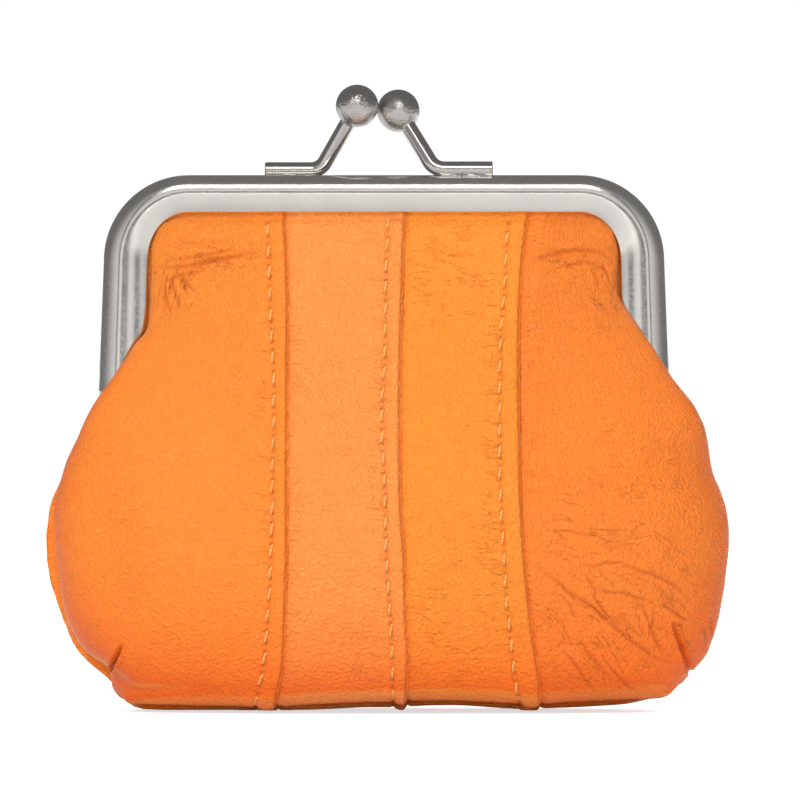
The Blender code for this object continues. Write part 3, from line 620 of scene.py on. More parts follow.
@dataclass
class LeatherStrip:
    """One strip of a half, from the bottom seam to its tuck in the channel."""

    half: Half
    strip: Strip
    skin: LeatherSkin
    creases: tuple[Crease, ...] = ()
    pitch: float = 0.36 * MM
    fine_pitch: float = 0.20 * MM
    fine_zone: float = 4.2 * MM
    lap: float = 0.62 * MM
    tuck: float = 1.7 * MM
    allowance: float = 3.0 * MM
    edge_steps: int = 9
    inner_step: int = 4
    fold_thin: float = 0.42
    thread_groove: float = 0.15 * MM
    pucker: float = 0.055 * MM
    hole_depth: float = 0.22 * MM
    hole_radius: float = 0.27 * MM
    lap_press: float = 0.32 * MM
    lap_ripple: float = 0.075 * MM
    swells: tuple[float, float, float] = (0.22 * MM, 0.07 * MM, 0.012 * MM)
    arch_start: float = 44.6 * MM
    places: Grid = field(init=False)

    def __post_init__(self) -> None:
        """Space rows and columns evenly along the leather, and closer where the front is creased."""
        close: tuple[tuple[float, float], ...] = ()
        if self.half is Half.FRONT and self.strip is Strip.OUTER_RIGHT:
            self.pitch, close = 0.22 * MM, ((0.5 * MM, 26.0 * MM), (58.0 * MM, 65.0 * MM))
        elif self.half is Half.FRONT and self.strip is Strip.OUTER_LEFT:
            self.pitch, close = 0.25 * MM, ((3.0 * MM, 10.0 * MM), (56.0 * MM, 65.5 * MM))
        self.places = self.skin.table.even_places(0.38 * MM, close)

    @property
    def index(self) -> int:
        """The strip's place from the left."""
        return self.strip.value

    def rows_of(self, x: Grid) -> Grid:
        """Row place of each point of a net with these rows."""
        return np.repeat(self.places[:, None], x.shape[1], axis=1)

    def seam_line(self, seam: Seam) -> Grid:
        """x of a seam's fold at each row."""
        across = np.full(self.places.shape, float(seam.fold.values[0]) * MM)
        return seam.fold.at(self.skin.face(self.places, across)[1])

    def columns(self) -> Grid:
        """x of each column at each row, from left to right, in metres.

        Returns:
            Rows by columns.
        """
        if self.index > 0:
            start = self.seam_line(SEAMS[self.index - 1]) - self.tuck
        if self.index < len(SEAMS):
            stop = self.seam_line(SEAMS[self.index])
            inner = stop - self.fine_zone
            last = self.ladder(inner, stop, self.fine_pitch, False)
            if self.index == 0:
                return np.concatenate((self.side_columns(inner, left=True), last), axis=1)
            return np.concatenate((self.ladder(start, inner, self.pitch * 0.85, True), last), axis=1)
        inner = start + self.fine_zone
        first = self.ladder(start, inner, self.fine_pitch * 1.4, True)
        return np.concatenate((first, self.side_columns(inner, left=False)), axis=1)

    @staticmethod
    def ladder(start: Grid, stop: Grid, pitch: float, open_end: bool) -> Grid:
        """Evenly spaced columns between two lines, without the last one where the next part starts there.

        Args:
            start: Where the first column lies at each row.
            stop: Where the last one lies at each row.
            pitch: Distance between two columns, in metres.
            open_end: Whether the last column is left out.

        Returns:
            Rows by columns.
        """
        count = max(2, int(round(float(np.mean(stop - start)) / pitch)))
        shares = np.linspace(0.0, 1.0, count + 1)
        if open_end:
            shares = shares[:-1]
        return start[:, None] + (stop - start)[:, None] * shares[None, :]

    def side_columns(self, inner: Grid, left: bool) -> Grid:
        """Columns from a line near the seam to the side, an even distance apart round the lobe.

        Args:
            inner: The line near the seam, row by row.
            left: Whether this is the left side.

        Returns:
            Rows by columns.
        """
        skin, broad = self.skin, np.full(500, 8.0)
        first = float(skin.turn_at_x(broad[:1], np.array([float(np.mean(inner))]), left)[0])
        turns = np.linspace(first, 0.5 * math.pi, len(broad))
        x = skin.x_at_turn(broad, turns, left)
        out = skin.face(broad, x)[0]
        run = running(np.hypot(np.diff(x), np.diff(out)))
        count = int(round(run[-1] / self.pitch))
        shares = (np.interp(np.linspace(0.0, run[-1], count + 1), run, turns) - first) / (turns[-1] - first)
        begin = skin.turn_at_x(self.places, inner, left)
        turn = begin[:, None] + (0.5 * math.pi - begin)[:, None] * shares[None, :]
        x = skin.x_at_turn(self.rows_of(turn), turn, left)
        if left:
            return x[:, :0:-1]
        return x

    def base(self, x: Grid) -> tuple[Grid, Grid]:
        """Points of the smooth skin under the columns, and the directions square to it.

        Args:
            x: Place of each point across.

        Returns:
            Points and directions, rows by columns by three.
        """
        out, up = self.skin.face(self.rows_of(x), x)
        points = np.stack((x, -out, up), axis=2)
        return points, normals_of(points)

    def lift(self, x: Grid, z: Grid) -> tuple[Grid, Grid]:
        """How far the lap raises the strip, and the painted shade in its needle holes and beside its folded edges.

        Args:
            x: x of the points.
            z: Height of the points.

        Returns:
            The lift in metres and the painted shade from 0 to 1.
        """
        raised = np.zeros(x.shape)
        dark = np.zeros(x.shape)
        settle = 1.0 - 0.85 * ease((z - 68.4 * MM) / (1.1 * MM))
        if self.index < len(SEAMS):
            seam = SEAMS[self.index]
            fold, stitch = seam.fold.at(z), seam.stitch.at(z)
            from_stitch = (x - stitch) / MM
            to_fold = (fold - x) / MM
            ramp = ease((from_stitch + 1.4) / 3.0)
            raised += self.lap * (0.10 * bell((from_stitch + 1.6) / 1.2) + 0.94 * ramp)
            raised -= self.lap * 0.45 * np.clip(1.0 - to_fold / self.fold_thin, 0.0, 1.0) ** 2
            raised -= self.thread_groove * bell(from_stitch / 0.40)
            raised *= settle
            near = bell(from_stitch / 2.6)
            pucker = np.cos(math.tau * (z - seam.heights()[0]) / seam.pitch)
            uneven = 0.6 + 0.4 * Ripple(7 + self.index, 6 * MM).at(x, z)
            raised += self.pucker * near * pucker * uneven
            hole = self.holes(seam, x - stitch, z)
            raised -= self.hole_depth * hole
            # Painted shade in the needle holes, and a thin painted shade along the folded edge
            dark = np.maximum(dark, hole)
            dark = np.maximum(dark, 0.9 * bell(to_fold / 0.13))
        if self.index > 0:
            seam = SEAMS[self.index - 1]
            past = (x - seam.fold.at(z)) / MM
            under = bell(np.minimum(past, 0.0) / 3.0)
            raised -= self.lap_press * under * (1.0 - ease((past + 0.1) / 0.9))
            raised += 0.05 * MM * bell((past - 1.5) / 0.9)
            wave = Ripple(31 + self.index, 3.4 * MM, stretch=(0.25, 1.0)).at(x, z)
            raised += self.lap_ripple * bell(past / 2.6) * wave
            # Painted shadow that the folded edge casts on this strip, in a thin jagged line, with softer painted shade
            # beside it
            jag = 0.75 + 0.45 * Ripple(61 + self.index, 1.9 * MM, stretch=(0.2, 1.0)).at(x, z)
            dark = np.maximum(dark, np.clip(0.95 * jag, 0.3, 1.0) * bell((past - 0.16) / 0.24))
            dark = np.maximum(dark, 0.28 * bell(np.maximum(past, 0.0) / 0.9))
        return raised, dark

    def holes(self, seam: Seam, aside: Grid, z: Grid) -> Grid:
        """Strength of the needle holes at the two ends of each stitch, from 0 to 1.

        Args:
            seam: The seam with the stitches.
            aside: How far each point lies beside the row of stitches.
            z: Height of each point.

        Returns:
            One value for each point.
        """
        reach = 0.5 * seam.thread + 0.06 * MM
        phase = np.mod(z - seam.heights()[0] + 0.5 * seam.pitch, seam.pitch) - 0.5 * seam.pitch
        gap = np.hypot(aside, np.abs(phase) - reach)
        inside = (z > seam.heights()[0] - seam.pitch) & (z < 69.4 * MM)
        return bell(gap / self.hole_radius) * inside

    def relief(self, x: Grid, z: Grid) -> tuple[Grid, Grid]:
        """Folds, wrinkles and unevenness of the strip, and the painted shade in them.

        Args:
            x: Place of each point across.
            z: Height of each point.

        Returns:
            Height of the relief in metres and painted shade, one value each for each point.
        """
        raised, dark = self.lift(x, z)
        seed = 100 * (1 + self.index) + (0 if self.half is Half.FRONT else 50)
        soft = Ripple(seed, 26 * MM).at(x, z)
        small = Ripple(seed + 1, 8 * MM, 12).at(x, z)
        fine = Ripple(seed + 2, 2.6 * MM, 14, (0.75, 1.3)).at(x, z)
        body = ease((z - 2 * MM) / (6 * MM)) * (1.0 - 0.8 * ease((z - 66 * MM) / (4 * MM)))
        raised += body * (self.swells[0] * soft + self.swells[1] * small + self.swells[2] * fine)
        for crease in self.creases:
            push, tone = crease.press(x, z)
            raised += push
            dark = np.maximum(dark, tone)
        return raised, dark

    def wear(self, x: Grid, z: Grid) -> Grid:
        """Strength of the fine wrinkles in each of three directions: strongest where the leather is gathered.

        Args:
            x: Place of each point across.
            z: Height of each point.

        Returns:
            Three values for each point.
        """
        total = np.zeros((*x.shape, 3))
        for spot in GATHERED_SPOTS:
            if spot.strip is self.strip:
                share = 1.0 if self.half is Half.FRONT else 0.6
                total[:, :, spot.way] = np.maximum(total[:, :, spot.way], share * spot.strength_at(x, z))
        return total

    @staticmethod
    def glow(normals: Grid, z: Grid) -> Grid:
        """How the tone changes: up to 0.5 for painted shade, a deeper tone where the leather turns away from the front
        and towards the bottom, down to -1 for a painted pale sheen on the lower edges and where the leather turns
        under.

        Args:
            normals: Directions square to the skin.
            z: Height of each point.

        Returns:
            One value for each point.
        """
        away = 1.0 - np.abs(normals[:, :, 1])
        low = ease((24.0 * MM - z) / (22.0 * MM))
        mouth = 1.0 - 0.75 * ease((z - 46.0 * MM) / (8.0 * MM))
        # Painted shade: deeper where the leather turns away from the front and lower down, less in the mouth
        deep = 0.5 * np.clip(0.78 * mouth * away**0.8 + 0.50 * low, 0.0, 0.9)
        under = 1.0 - ease((-normals[:, :, 2] - 0.86) / 0.10)
        # Painted sheen: pale on the lower edges that turn away, and below where the leather turns under
        pale = ease((away - 0.70) / 0.20) * ease((24.0 * MM - z) / (12.0 * MM)) * under
        down = -normals[:, :, 2]
        pale = np.maximum(pale, 0.6 * ease((down - 0.60) / 0.20) * (1.0 - ease((down - 0.93) / 0.06)))
        return deep * (1.0 - pale) - 0.75 * pale

    def rim(self, height: Grid) -> Grid:
        """Half-width of the leather at the frame's window edge."""
        return WINDOW_EDGE - drawn_in(height, WINDOW_TOP - WINDOW_CORNER, WINDOW_CORNER)

    def side_edge(self, outer: Grid, inner: Grid, left: bool) -> Grid:
        """The strip's edge at the side: turned round the seam below, over the arm and into the channel above.

        Args:
            outer: The outer face's last points, row by row.
            inner: The inner face's last points, row by row.
            left: Whether this is the left side.

        Returns:
            Rows by edge points by three, from the outer face to the inner one.
        """
        count = self.edge_steps
        shares = (np.arange(count) + 1.0) / (count + 1.0)
        plain = outer[:, None, :] + (inner - outer)[:, None, :] * shares[None, :, None]
        sign = -1.0 if left else 1.0
        turned = self.allowance * ease(np.minimum(shares, 1.0 - shares) * 3.2)
        lobe = ease(np.linspace(0.0, 1.0, len(outer)) * 12.0)
        plain[:, :, 0] -= sign * turned[None, :] * lobe[:, None]
        plain[:, :, 1] -= (0.16 * MM * ease(shares * 2.0 - 1.0))[None, :] * lobe[:, None]
        height = outer[:, 2]
        width = np.abs(outer[:, 0])
        edge = -outer[:, 1]
        rim = self.rim(height)
        spill = ease((width - rim) / (1.2 * MM))
        back = IN_CHANNEL + 0.4 * MM + (SHOULDER_BACK - IN_CHANNEL - 0.4 * MM) * spill
        back = np.minimum(back, edge - 0.25 * MM)
        tuck = np.maximum(TUCK_EDGE - drawn_in(height, TUCK_START, TUCK_CORNER), rim + 0.9 * MM)
        entry = np.minimum(rim, width)
        deep, level = IN_CHANNEL, np.ones(height.shape)
        route = [
            (width + 0.02 * MM, edge - 0.16 * MM * spill - 0.03 * MM),
            (width - 0.12 * MM * spill, edge - 0.42 * MM * spill - 0.06 * MM),
            (width - 0.42 * MM * spill, back + 0.06 * MM),
            (entry + 0.25 * MM, back),
            (entry + 0.05 * MM, np.minimum(deep + 0.45 * MM, back - 0.05 * MM)),
            (entry + 0.55 * MM, level * deep),
            (tuck, level * deep),
            (tuck, level * (deep - 0.75 * MM)),
            (entry + 0.1 * MM, level * (deep - 0.8 * MM)),
        ]
        mouth = np.stack([np.stack((sign * x, -y, height), axis=1) for x, y in route], axis=1)
        mix = ease((height - self.arch_start) / (1.3 * MM))[:, None, None]
        return plain * (1.0 - mix) + mouth * mix

    def inner_face(self, x: Grid, points: Grid, normals: Grid, lift: Grid) -> Grid:
        """The strip's inner face: square to the lobe below, and inside the frame's window above.

        Args:
            x: Place of each point across.
            points: Points of the smooth skin.
            normals: Directions square to the skin.
            lift: How far the strip is raised where it laps, in metres.

        Returns:
            Rows by columns by three.
        """
        shell = points + normals * (0.85 * lift - LEATHER)[:, :, None]
        shell[:, :, 1] = np.minimum(shell[:, :, 1], -0.02 * MM)
        height = points[:, :, 2]
        limit = self.rim(height) - 0.8 * MM
        held = np.clip(x, -limit, limit)
        out = self.skin.face(self.rows_of(x), held)[0]
        straight = np.stack((held, -(out - LEATHER + 0.85 * lift), height), axis=2)
        mix = ease((height - 44.0 * MM) / (2.4 * MM))[:, :, None]
        return shell * (1.0 - mix) + straight * mix

    def net(self) -> SheetNet:
        """All points of the strip.

        Returns:
            The net with its attributes.
        """
        x = self.columns()
        points, normals = self.base(x)
        z = points[:, :, 2]
        raised, dark = self.relief(x, z)
        lap_only = self.lift(x, z)[0]
        fade = np.ones(len(self.places))
        fade[:3] = (0.0, 0.3, 0.7)
        outer = points + normals * (raised * fade[:, None])[:, :, None]
        outer[:, :, 1] = np.minimum(outer[:, :, 1], -0.005 * MM)
        inner = self.inner_face(x, points, normals, lap_only * fade[:, None])
        count = x.shape[1]
        kept = np.unique(np.append(np.arange(0, count, self.inner_step), count - 1))
        nearest = kept[np.argmin(np.abs(np.arange(count)[:, None] - kept[None, :]), axis=1)]
        for row in (0, -1):
            outer[row] = outer[row, nearest]
            inner[row] = outer[row]
        inner = inner[:, kept]
        parts = [outer]
        if self.strip is Strip.OUTER_RIGHT:
            parts.append(self.side_edge(outer[:, -1], inner[:, -1], False))
        else:
            parts.append(self.fold_edge(outer, inner, normals))
        parts.append(inner[:, ::-1])
        if self.strip is Strip.OUTER_LEFT:
            parts.append(self.side_edge(outer[:, 0], inner[:, 0], True)[:, ::-1])
        ring = np.concatenate(parts, axis=1)
        for row in (0, -1):
            ring[row, count:count + parts[1].shape[1]] = outer[row, -1]
            if self.strip is Strip.OUTER_LEFT:
                ring[row, -self.edge_steps:] = outer[row, 0]
        ring[:, :, 2] = np.maximum(ring[:, :, 2], 0.02 * MM)
        ring = np.concatenate((ring, ring[:, :1]), axis=1)
        middle = len(self.places) // 2
        across, along = run_along(ring[middle]), run_along(outer[:, count // 2])
        shade, lines = np.zeros(ring.shape[:2]), np.zeros(ring.shape[:2])
        shade[:, :count] = self.glow(normals, z)
        lines[:, :count] = dark
        worn = np.zeros(ring.shape)
        worn[:, :x.shape[1]] = self.wear(x, z)
        ring[:, :, 1] *= -self.half.value
        return SheetNet(ring, across, along, shade, lines, worn)

    @staticmethod
    def fold_edge(outer: Grid, inner: Grid, normals: Grid) -> Grid:
        """The rounded folded edge on the strip's right, from its outer face round to its inner one.

        Args:
            outer: Points of the outer face.
            inner: Points of the inner face.
            normals: Directions square to the skin.

        Returns:
            Rows by edge points by three.
        """
        first, last, out = outer[:, -1], inner[:, -1], normals[:, -1]
        along = np.cross(out, np.array([0.0, 0.0, 1.0]))
        sign = np.sign(along[:, :1])
        along = along * np.where(sign == 0.0, 1.0, sign)
        along /= np.maximum(np.linalg.norm(along, axis=1, keepdims=True), 1e-9)
        steps = []
        for turn in (0.15, 0.35, 0.5, 0.65, 0.85):
            middle = first + (last - first) * turn
            bulge = math.sin(math.pi * turn) * 0.30 * MM
            steps.append(middle + along * bulge)
        return np.stack(steps, axis=1)

    def build(self) -> Piece:
        """Make the strip and dress it.

        Returns:
            The finished strip.
        """
        name = f"{self.half.word}_leather_{self.strip.word}"
        piece = lay_net(name, self.net())
        piece.data.materials.append(LEATHER_FINISHES[self.strip].material())
        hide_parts(f"{self.half.word}_mouth_{self.strip.word}", f"{self.half.word}_panel_{self.strip.word}")
        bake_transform(piece)
        LOG.info("%s: %d points", name, len(piece.data.vertices))
        return piece


class NodeDesk:
    """Lays out the nodes of one finish or of the surround."""

    def __init__(self, name: str, world: bpy.types.World | None = None) -> None:
        """Start a new finish, or work on a world.

        Args:
            name: Name of the finish.
            world: The world, where the nodes are for one.
        """
        self.finish = world or bpy.data.materials.new(name)
        self.finish.use_nodes = True
        self.nodes = self.finish.node_tree.nodes
        self.shader = self.nodes["Background" if world else "Principled BSDF"]

    def add(self, kind: str, **settings: object) -> bpy.types.Node:
        """Add a node and set its own settings.

        Args:
            kind: The node's type.
            **settings: The settings, by name.

        Returns:
            The new node.
        """
        node = self.nodes.new(kind)
        for key, value in settings.items():
            setattr(node, key, value)
        return node

    def join(self, source: Socket, target: Socket) -> None:
        """Link two sockets."""
        self.finish.node_tree.links.new(source, target)

    @staticmethod
    def fix(node: bpy.types.Node, **values: object) -> None:
        """Give a node's inputs their constant values, with _ for a space in an input's name."""
        for key, value in values.items():
            node.inputs[key.replace("_", " ")].default_value = value

    def pattern(self, kind: str, place: Socket, values: dict[str, object], **settings: object) -> bpy.types.Node:
        """Add a node that reads a place.

        Args:
            kind: The node's type.
            place: The coordinates to read.
            values: The node's constant inputs.
            **settings: The node's own settings.

        Returns:
            The node.
        """
        node = self.add(kind, **settings)
        self.fix(node, **values)
        self.join(place, node.inputs["Vector"])
        return node

    def noise(self, place: Socket, scale: float, detail: float = 3.0, rough: float = 0.55) -> Socket:
        """Soft noise over a place."""
        values = {"Scale": scale, "Detail": detail, "Roughness": rough}
        return self.pattern("ShaderNodeTexNoise", place, values).outputs["Fac"]

    def sum_of(self, kind: str, first: Value, second: Value) -> Socket:
        """A calculation on two values, by the Math node's operation of that name.

        Args:
            kind: Name of the operation.
            first: First value or socket.
            second: Second value or socket.

        Returns:
            The result's socket.
        """
        node = self.add("ShaderNodeMath", operation=kind)
        for socket, value in zip(node.inputs, (first, second)):
            if isinstance(value, Socket):
                self.join(value, socket)
            else:
                socket.default_value = value
        return node.outputs[0]

    def span(self, value: Socket, low: float, high: float, to_low: float = 0.0, to_high: float = 1.0,
             way: str = "SMOOTHSTEP") -> Socket:
        """A ramp between two values, smooth unless its way says otherwise.

        Args:
            value: Socket of the value.
            low: Value at which the ramp starts.
            high: Value at which it ends.
            to_low: Result at the start.
            to_high: Result at the end.
            way: Name of the way in which it is filled in.

        Returns:
            The result's socket.
        """
        node = self.add("ShaderNodeMapRange", interpolation_type=way)
        self.fix(node, From_Min=low, From_Max=high, To_Min=to_low, To_Max=to_high)
        self.join(value, node.inputs["Value"])
        return node.outputs["Result"]

    def mix(self, share: Socket, first: Socket | Triple, second: Triple) -> Socket:
        """A mix of two colours.

        Args:
            share: How much of the second there is.
            first: A colour or a socket.
            second: A colour.

        Returns:
            The mixed colour's socket.
        """
        node = self.add("ShaderNodeMix", data_type="RGBA")
        self.join(share, node.inputs["Factor"])
        under, over = (item for item in node.inputs if item.type == "RGBA")
        if isinstance(first, Socket):
            self.join(first, under)
        else:
            under.default_value = (*first, 1.0)
        over.default_value = (*second, 1.0)
        return next(item for item in node.outputs if item.type == "RGBA")

    def bump(self, height: Socket, distance: float, strength: float, under: Socket | None = None) -> Socket:
        """Relief that is too fine for the mesh.

        Args:
            height: Socket of the height.
            distance: How far a height of 1 stands out, in metres.
            strength: How much of the relief is used, from 0 to 1.
            under: Normal of the relief to which this one is added.

        Returns:
            The normal's socket.
        """
        node = self.add("ShaderNodeBump")
        self.fix(node, Strength=strength, Distance=distance)
        self.join(height, node.inputs["Height"])
        if under is not None:
            self.join(under, node.inputs["Normal"])
        return node.outputs["Normal"]

    def glow(self, strength: Value) -> Socket:
        """White light of a strength.

        Args:
            strength: The strength, as a value or a socket.

        Returns:
            The light's socket.
        """
        node = self.add("ShaderNodeEmission")
        if isinstance(strength, Socket):
            self.join(strength, node.inputs["Strength"])
        else:
            self.fix(node, Strength=strength)
        return node.outputs["Emission"]

    def show(self, surface: Socket) -> None:
        """Show a surface in place of the shader."""
        self.join(surface, self.nodes["Material Output"].inputs["Surface"])


@dataclass(frozen=True)
class LeatherFinish:
    """Soft dyed nappa with pores and fine wrinkles, with painted shade in its creases and where it turns away, and a
    painted pale sheen on the lower edges that turn away.
    """

    name: str
    tone: Triple
    wrinkles: float
    shift: float
    # Deeper tone for the pores and mottling, and also for the painted shade where the leather turns away
    deep: Triple = (0.93, 0.150, 0.010)
    # Painted shade in creases, fine wrinkles, needle holes and beside folded edges
    dark: Triple = (0.48, 0.082, 0.010)
    # Painted pale sheen on the lower edges
    pale: Triple = (1.0, 0.42, 0.22)

    def material(self) -> Finish:
        """Build the finish on the strip's own UV map and attributes.

        Returns:
            The finished material.
        """
        desk = NodeDesk(self.name)
        place = desk.add("ShaderNodeUVMap", uv_map="leather").outputs["UV"]
        moved = {"Location": (self.shift, 0.37 * self.shift, 0.0)}
        spot = desk.pattern("ShaderNodeMapping", place, moved).outputs["Vector"]
        cloud = desk.noise(spot, 5.0, 4.0)
        mottle = desk.noise(spot, 55.0, 3.0)
        pores = desk.pattern("ShaderNodeTexVoronoi", spot, {"Scale": 230.0}, feature="SMOOTH_F1")
        pore = desk.span(pores.outputs["Distance"], 0.05, 0.62)
        wrinkle = self.wrinkle(desk, spot)
        shade = desk.add("ShaderNodeAttribute", attribute_name="shade").outputs["Fac"]
        tone = desk.mix(desk.span(cloud, 0.3, 0.72), tuple(0.96 * c for c in self.tone), self.tone)
        tone = desk.mix(desk.sum_of("MULTIPLY", pore, 0.36), tone, self.deep)
        tone = desk.mix(desk.sum_of("MULTIPLY", desk.span(mottle, 0.35, 0.75), 0.12), tone, self.deep)
        # Painted shade where the leather turns away from the front and towards the bottom
        tone = desk.mix(desk.span(shade, 0.0, 0.5), tone, self.deep)
        # Painted sheen where the shade attribute is below zero
        tone = desk.mix(desk.span(desk.sum_of("MULTIPLY", shade, -1.0), 0.0, 1.0, 0.0, 0.75), tone, self.pale)
        # Painted shade in the lines of the fine wrinkles
        tone = desk.mix(desk.sum_of("MULTIPLY", wrinkle, 0.34), tone, self.dark)
        # Painted shade in the creases, the needle holes and beside the folded edges
        lines = desk.add("ShaderNodeAttribute", attribute_name="dark").outputs["Fac"]
        tone = desk.mix(desk.sum_of("MULTIPLY", lines, 0.70), tone, self.dark)
        desk.join(tone, desk.shader.inputs["Base Color"])
        desk.join(desk.span(mottle, 0.2, 0.8, 0.42, 0.54), desk.shader.inputs["Roughness"])
        desk.fix(desk.shader, Specular_IOR_Level=0.32, Sheen_Weight=0.30, Sheen_Roughness=0.20)
        desk.fix(desk.shader, Sheen_Tint=(1.0, 0.66, 0.50, 1.0))
        grain = desk.bump(desk.sum_of("SUBTRACT", 1.0, pore), 0.16 * MM, 0.92)
        grain = desk.bump(desk.noise(spot, 380.0, 2.0), 0.05 * MM, 0.6, grain)
        grain = desk.bump(mottle, 0.15 * MM, 0.35, grain)
        sunk = desk.sum_of("SUBTRACT", 1.0, wrinkle)
        desk.join(desk.bump(sunk, 0.16 * MM, 1.0, grain), desk.shader.inputs["Normal"])
        return desk.finish

    def wrinkle(self, desk: NodeDesk, spot: Socket) -> Socket:
        """Fine wavy wrinkles in three directions, each as strong as the strip's attribute for them says; they give the
        bump and the painted shade in their lines.

        Args:
            desk: Where the nodes are laid out.
            spot: The leather's coordinates.

        Returns:
            Strength of the wrinkles, from 0 to 1.
        """
        warp = desk.pattern("ShaderNodeTexNoise", spot, {"Scale": 14.0, "Detail": 4.0})
        bent = desk.add("ShaderNodeVectorMath", operation="MULTIPLY_ADD")
        bent.inputs[1].default_value = (0.050, 0.050, 0.0)
        desk.join(warp.outputs["Color"], bent.inputs[0])
        desk.join(spot, bent.inputs[2])
        worn = desk.add("ShaderNodeSeparateXYZ")
        desk.join(desk.add("ShaderNodeAttribute", attribute_name="worn").outputs["Vector"], worn.inputs[0])
        total = None
        for index, degrees in enumerate((4.0, 40.0, -55.0)):
            turn = {"Rotation": (0.0, 0.0, math.radians(degrees))}
            turned = desk.pattern("ShaderNodeMapping", bent.outputs[0], turn).outputs["Vector"]
            drawn = desk.pattern("ShaderNodeMapping", turned, {"Scale": (0.20, 1.0, 1.0)})
            level = desk.noise(drawn.outputs["Vector"], 46.0 + 9.0 * index, 2.0, 0.55)
            gap = desk.sum_of("ABSOLUTE", desk.sum_of("SUBTRACT", level, 0.5), 0.0)
            line = desk.span(gap, 0.0, 0.045, 1.0, 0.0)
            breaks = desk.span(desk.noise(spot, 24.0 + 5.0 * index, 1.0), 0.38, 0.56)
            strength = worn.outputs[index]
            if index == 0:
                patch = desk.span(desk.noise(spot, 8.0, 2.0), 0.44, 0.70, 0.0, self.wrinkles)
                strength = desk.sum_of("MAXIMUM", patch, strength)
            part = desk.sum_of("MULTIPLY", desk.sum_of("MULTIPLY", line, breaks), strength)
            total = part if total is None else desk.sum_of("MAXIMUM", total, part)
        return total


LEATHER_FINISHES = {
    Strip.OUTER_LEFT: LeatherFinish("leather_outer_left", (0.97, 0.303, 0.037), 0.24, 0.0),
    Strip.INNER_LEFT: LeatherFinish("leather_inner_left", (0.97, 0.354, 0.074), 0.18, 3.1),
    Strip.INNER_RIGHT: LeatherFinish("leather_inner_right", (0.97, 0.334, 0.034), 0.40, 6.3),
    Strip.OUTER_RIGHT: LeatherFinish("leather_outer_right", (0.96, 0.264, 0.032), 0.42, 9.7),
}


@dataclass(frozen=True)
class NickelFinish:
    """Polished dark nickel plate with faint brushing marks and dust."""

    name: str = "gunmetal"
    tone: Triple = (0.86, 0.83, 0.785)
    roughness: float = 0.15
    speckle: float = 0.0

    def material(self) -> Finish:
        """Build the finish on Object coordinates.

        Returns:
            The finished material.
        """
        desk = NodeDesk(self.name)
        place = desk.add("ShaderNodeTexCoord").outputs["Object"]
        cloud = desk.noise(place, 120.0, 3.0)
        fine = desk.noise(place, 2600.0, 2.0)
        tone = desk.mix(desk.span(cloud, 0.3, 0.7), self.tone, tuple(0.93 * c for c in self.tone))
        desk.join(tone, desk.shader.inputs["Base Color"])
        desk.fix(desk.shader, Metallic=1.0)
        gloss = desk.span(fine, 0.3, 0.8, self.roughness - 0.02, self.roughness + 0.05)
        desk.join(gloss, desk.shader.inputs["Roughness"])
        relief = desk.bump(cloud, 0.02 * MM, 0.10)
        if self.speckle > 0.0:
            relief = desk.bump(desk.noise(place, 620.0, 4.0, 0.7), 0.38 * MM, self.speckle, relief)
        desk.join(relief, desk.shader.inputs["Normal"])
        return desk.finish


@dataclass(frozen=True)
class ClothFinish:
    """Plain woven lining cloth."""

    name: str = "lining"
    tone: Triple = (0.085, 0.085, 0.095)

    def material(self) -> Finish:
        """Build the weave on the sheet's own UV map.

        Returns:
            The finished material.
        """
        desk = NodeDesk(self.name)
        place = desk.add("ShaderNodeUVMap", uv_map="leather").outputs["UV"]
        weaves = []
        for direction in ("X", "Y"):
            values = {"Scale": 62.0, "Distortion": 0.6, "Detail Scale": 3.0}
            weaves.append(desk.pattern("ShaderNodeTexWave", place, values, bands_direction=direction).outputs["Fac"])
        weave = desk.sum_of("MAXIMUM", weaves[0], weaves[1])
        tone = desk.mix(desk.span(weave, 0.2, 1.0), tuple(0.55 * c for c in self.tone), self.tone)
        desk.join(tone, desk.shader.inputs["Base Color"])
        desk.fix(desk.shader, Roughness=0.82, Sheen_Weight=0.25)
        desk.join(desk.bump(weave, 0.05 * MM, 0.6), desk.shader.inputs["Normal"])
        return desk.finish


@dataclass(frozen=True)
class TwistFinish:
    """Twisted thread or paper cord."""

    name: str
    tone: Triple
    scale: float
    distortion: float
    low: float
    roughness: float
    relief: float

    def material(self) -> Finish:
        """Build the twist on Object coordinates.

        Returns:
            The finished material.
        """
        desk = NodeDesk(self.name)
        place = desk.add("ShaderNodeTexCoord").outputs["Object"]
        values = {"Scale": self.scale, "Distortion": self.distortion}
        twist = desk.pattern("ShaderNodeTexWave", place, values, bands_direction="DIAGONAL").outputs["Fac"]
        desk.join(desk.mix(twist, tuple(self.low * c for c in self.tone), self.tone), desk.shader.inputs["Base Color"])
        desk.fix(desk.shader, Roughness=self.roughness)
        desk.join(desk.bump(twist, self.relief, 0.5), desk.shader.inputs["Normal"])
        return desk.finish


THREAD = TwistFinish("thread", (0.93, 0.44, 0.115), 900.0, 0.0, 0.78, 0.55, 0.04 * MM)
PAPER = TwistFinish("binding_cord", (0.56, 0.45, 0.31), 240.0, 1.5, 0.7, 0.9, 0.15 * MM)


def sharp_shade(piece: Piece, degrees: float = 35.0) -> None:
    """Shade a piece smooth except across sharp edges."""
    select_only(piece)
    bpy.ops.object.shade_smooth_by_angle(angle=math.radians(degrees))


def set_points(piece: Piece, points: Grid) -> None:
    """Move all of a piece's points."""
    piece.data.vertices.foreach_set("co", points.astype(np.float32).ravel())
    piece.data.update()


def get_points(piece: Piece) -> Grid:
    """Places of all of a piece's points, one row each.

    Args:
        piece: The piece to read.

    Returns:
        Points by three, in metres.
    """
    flat = np.empty(len(piece.data.vertices) * 3)
    piece.data.vertices.foreach_get("co", flat)
    return flat.reshape(-1, 3)


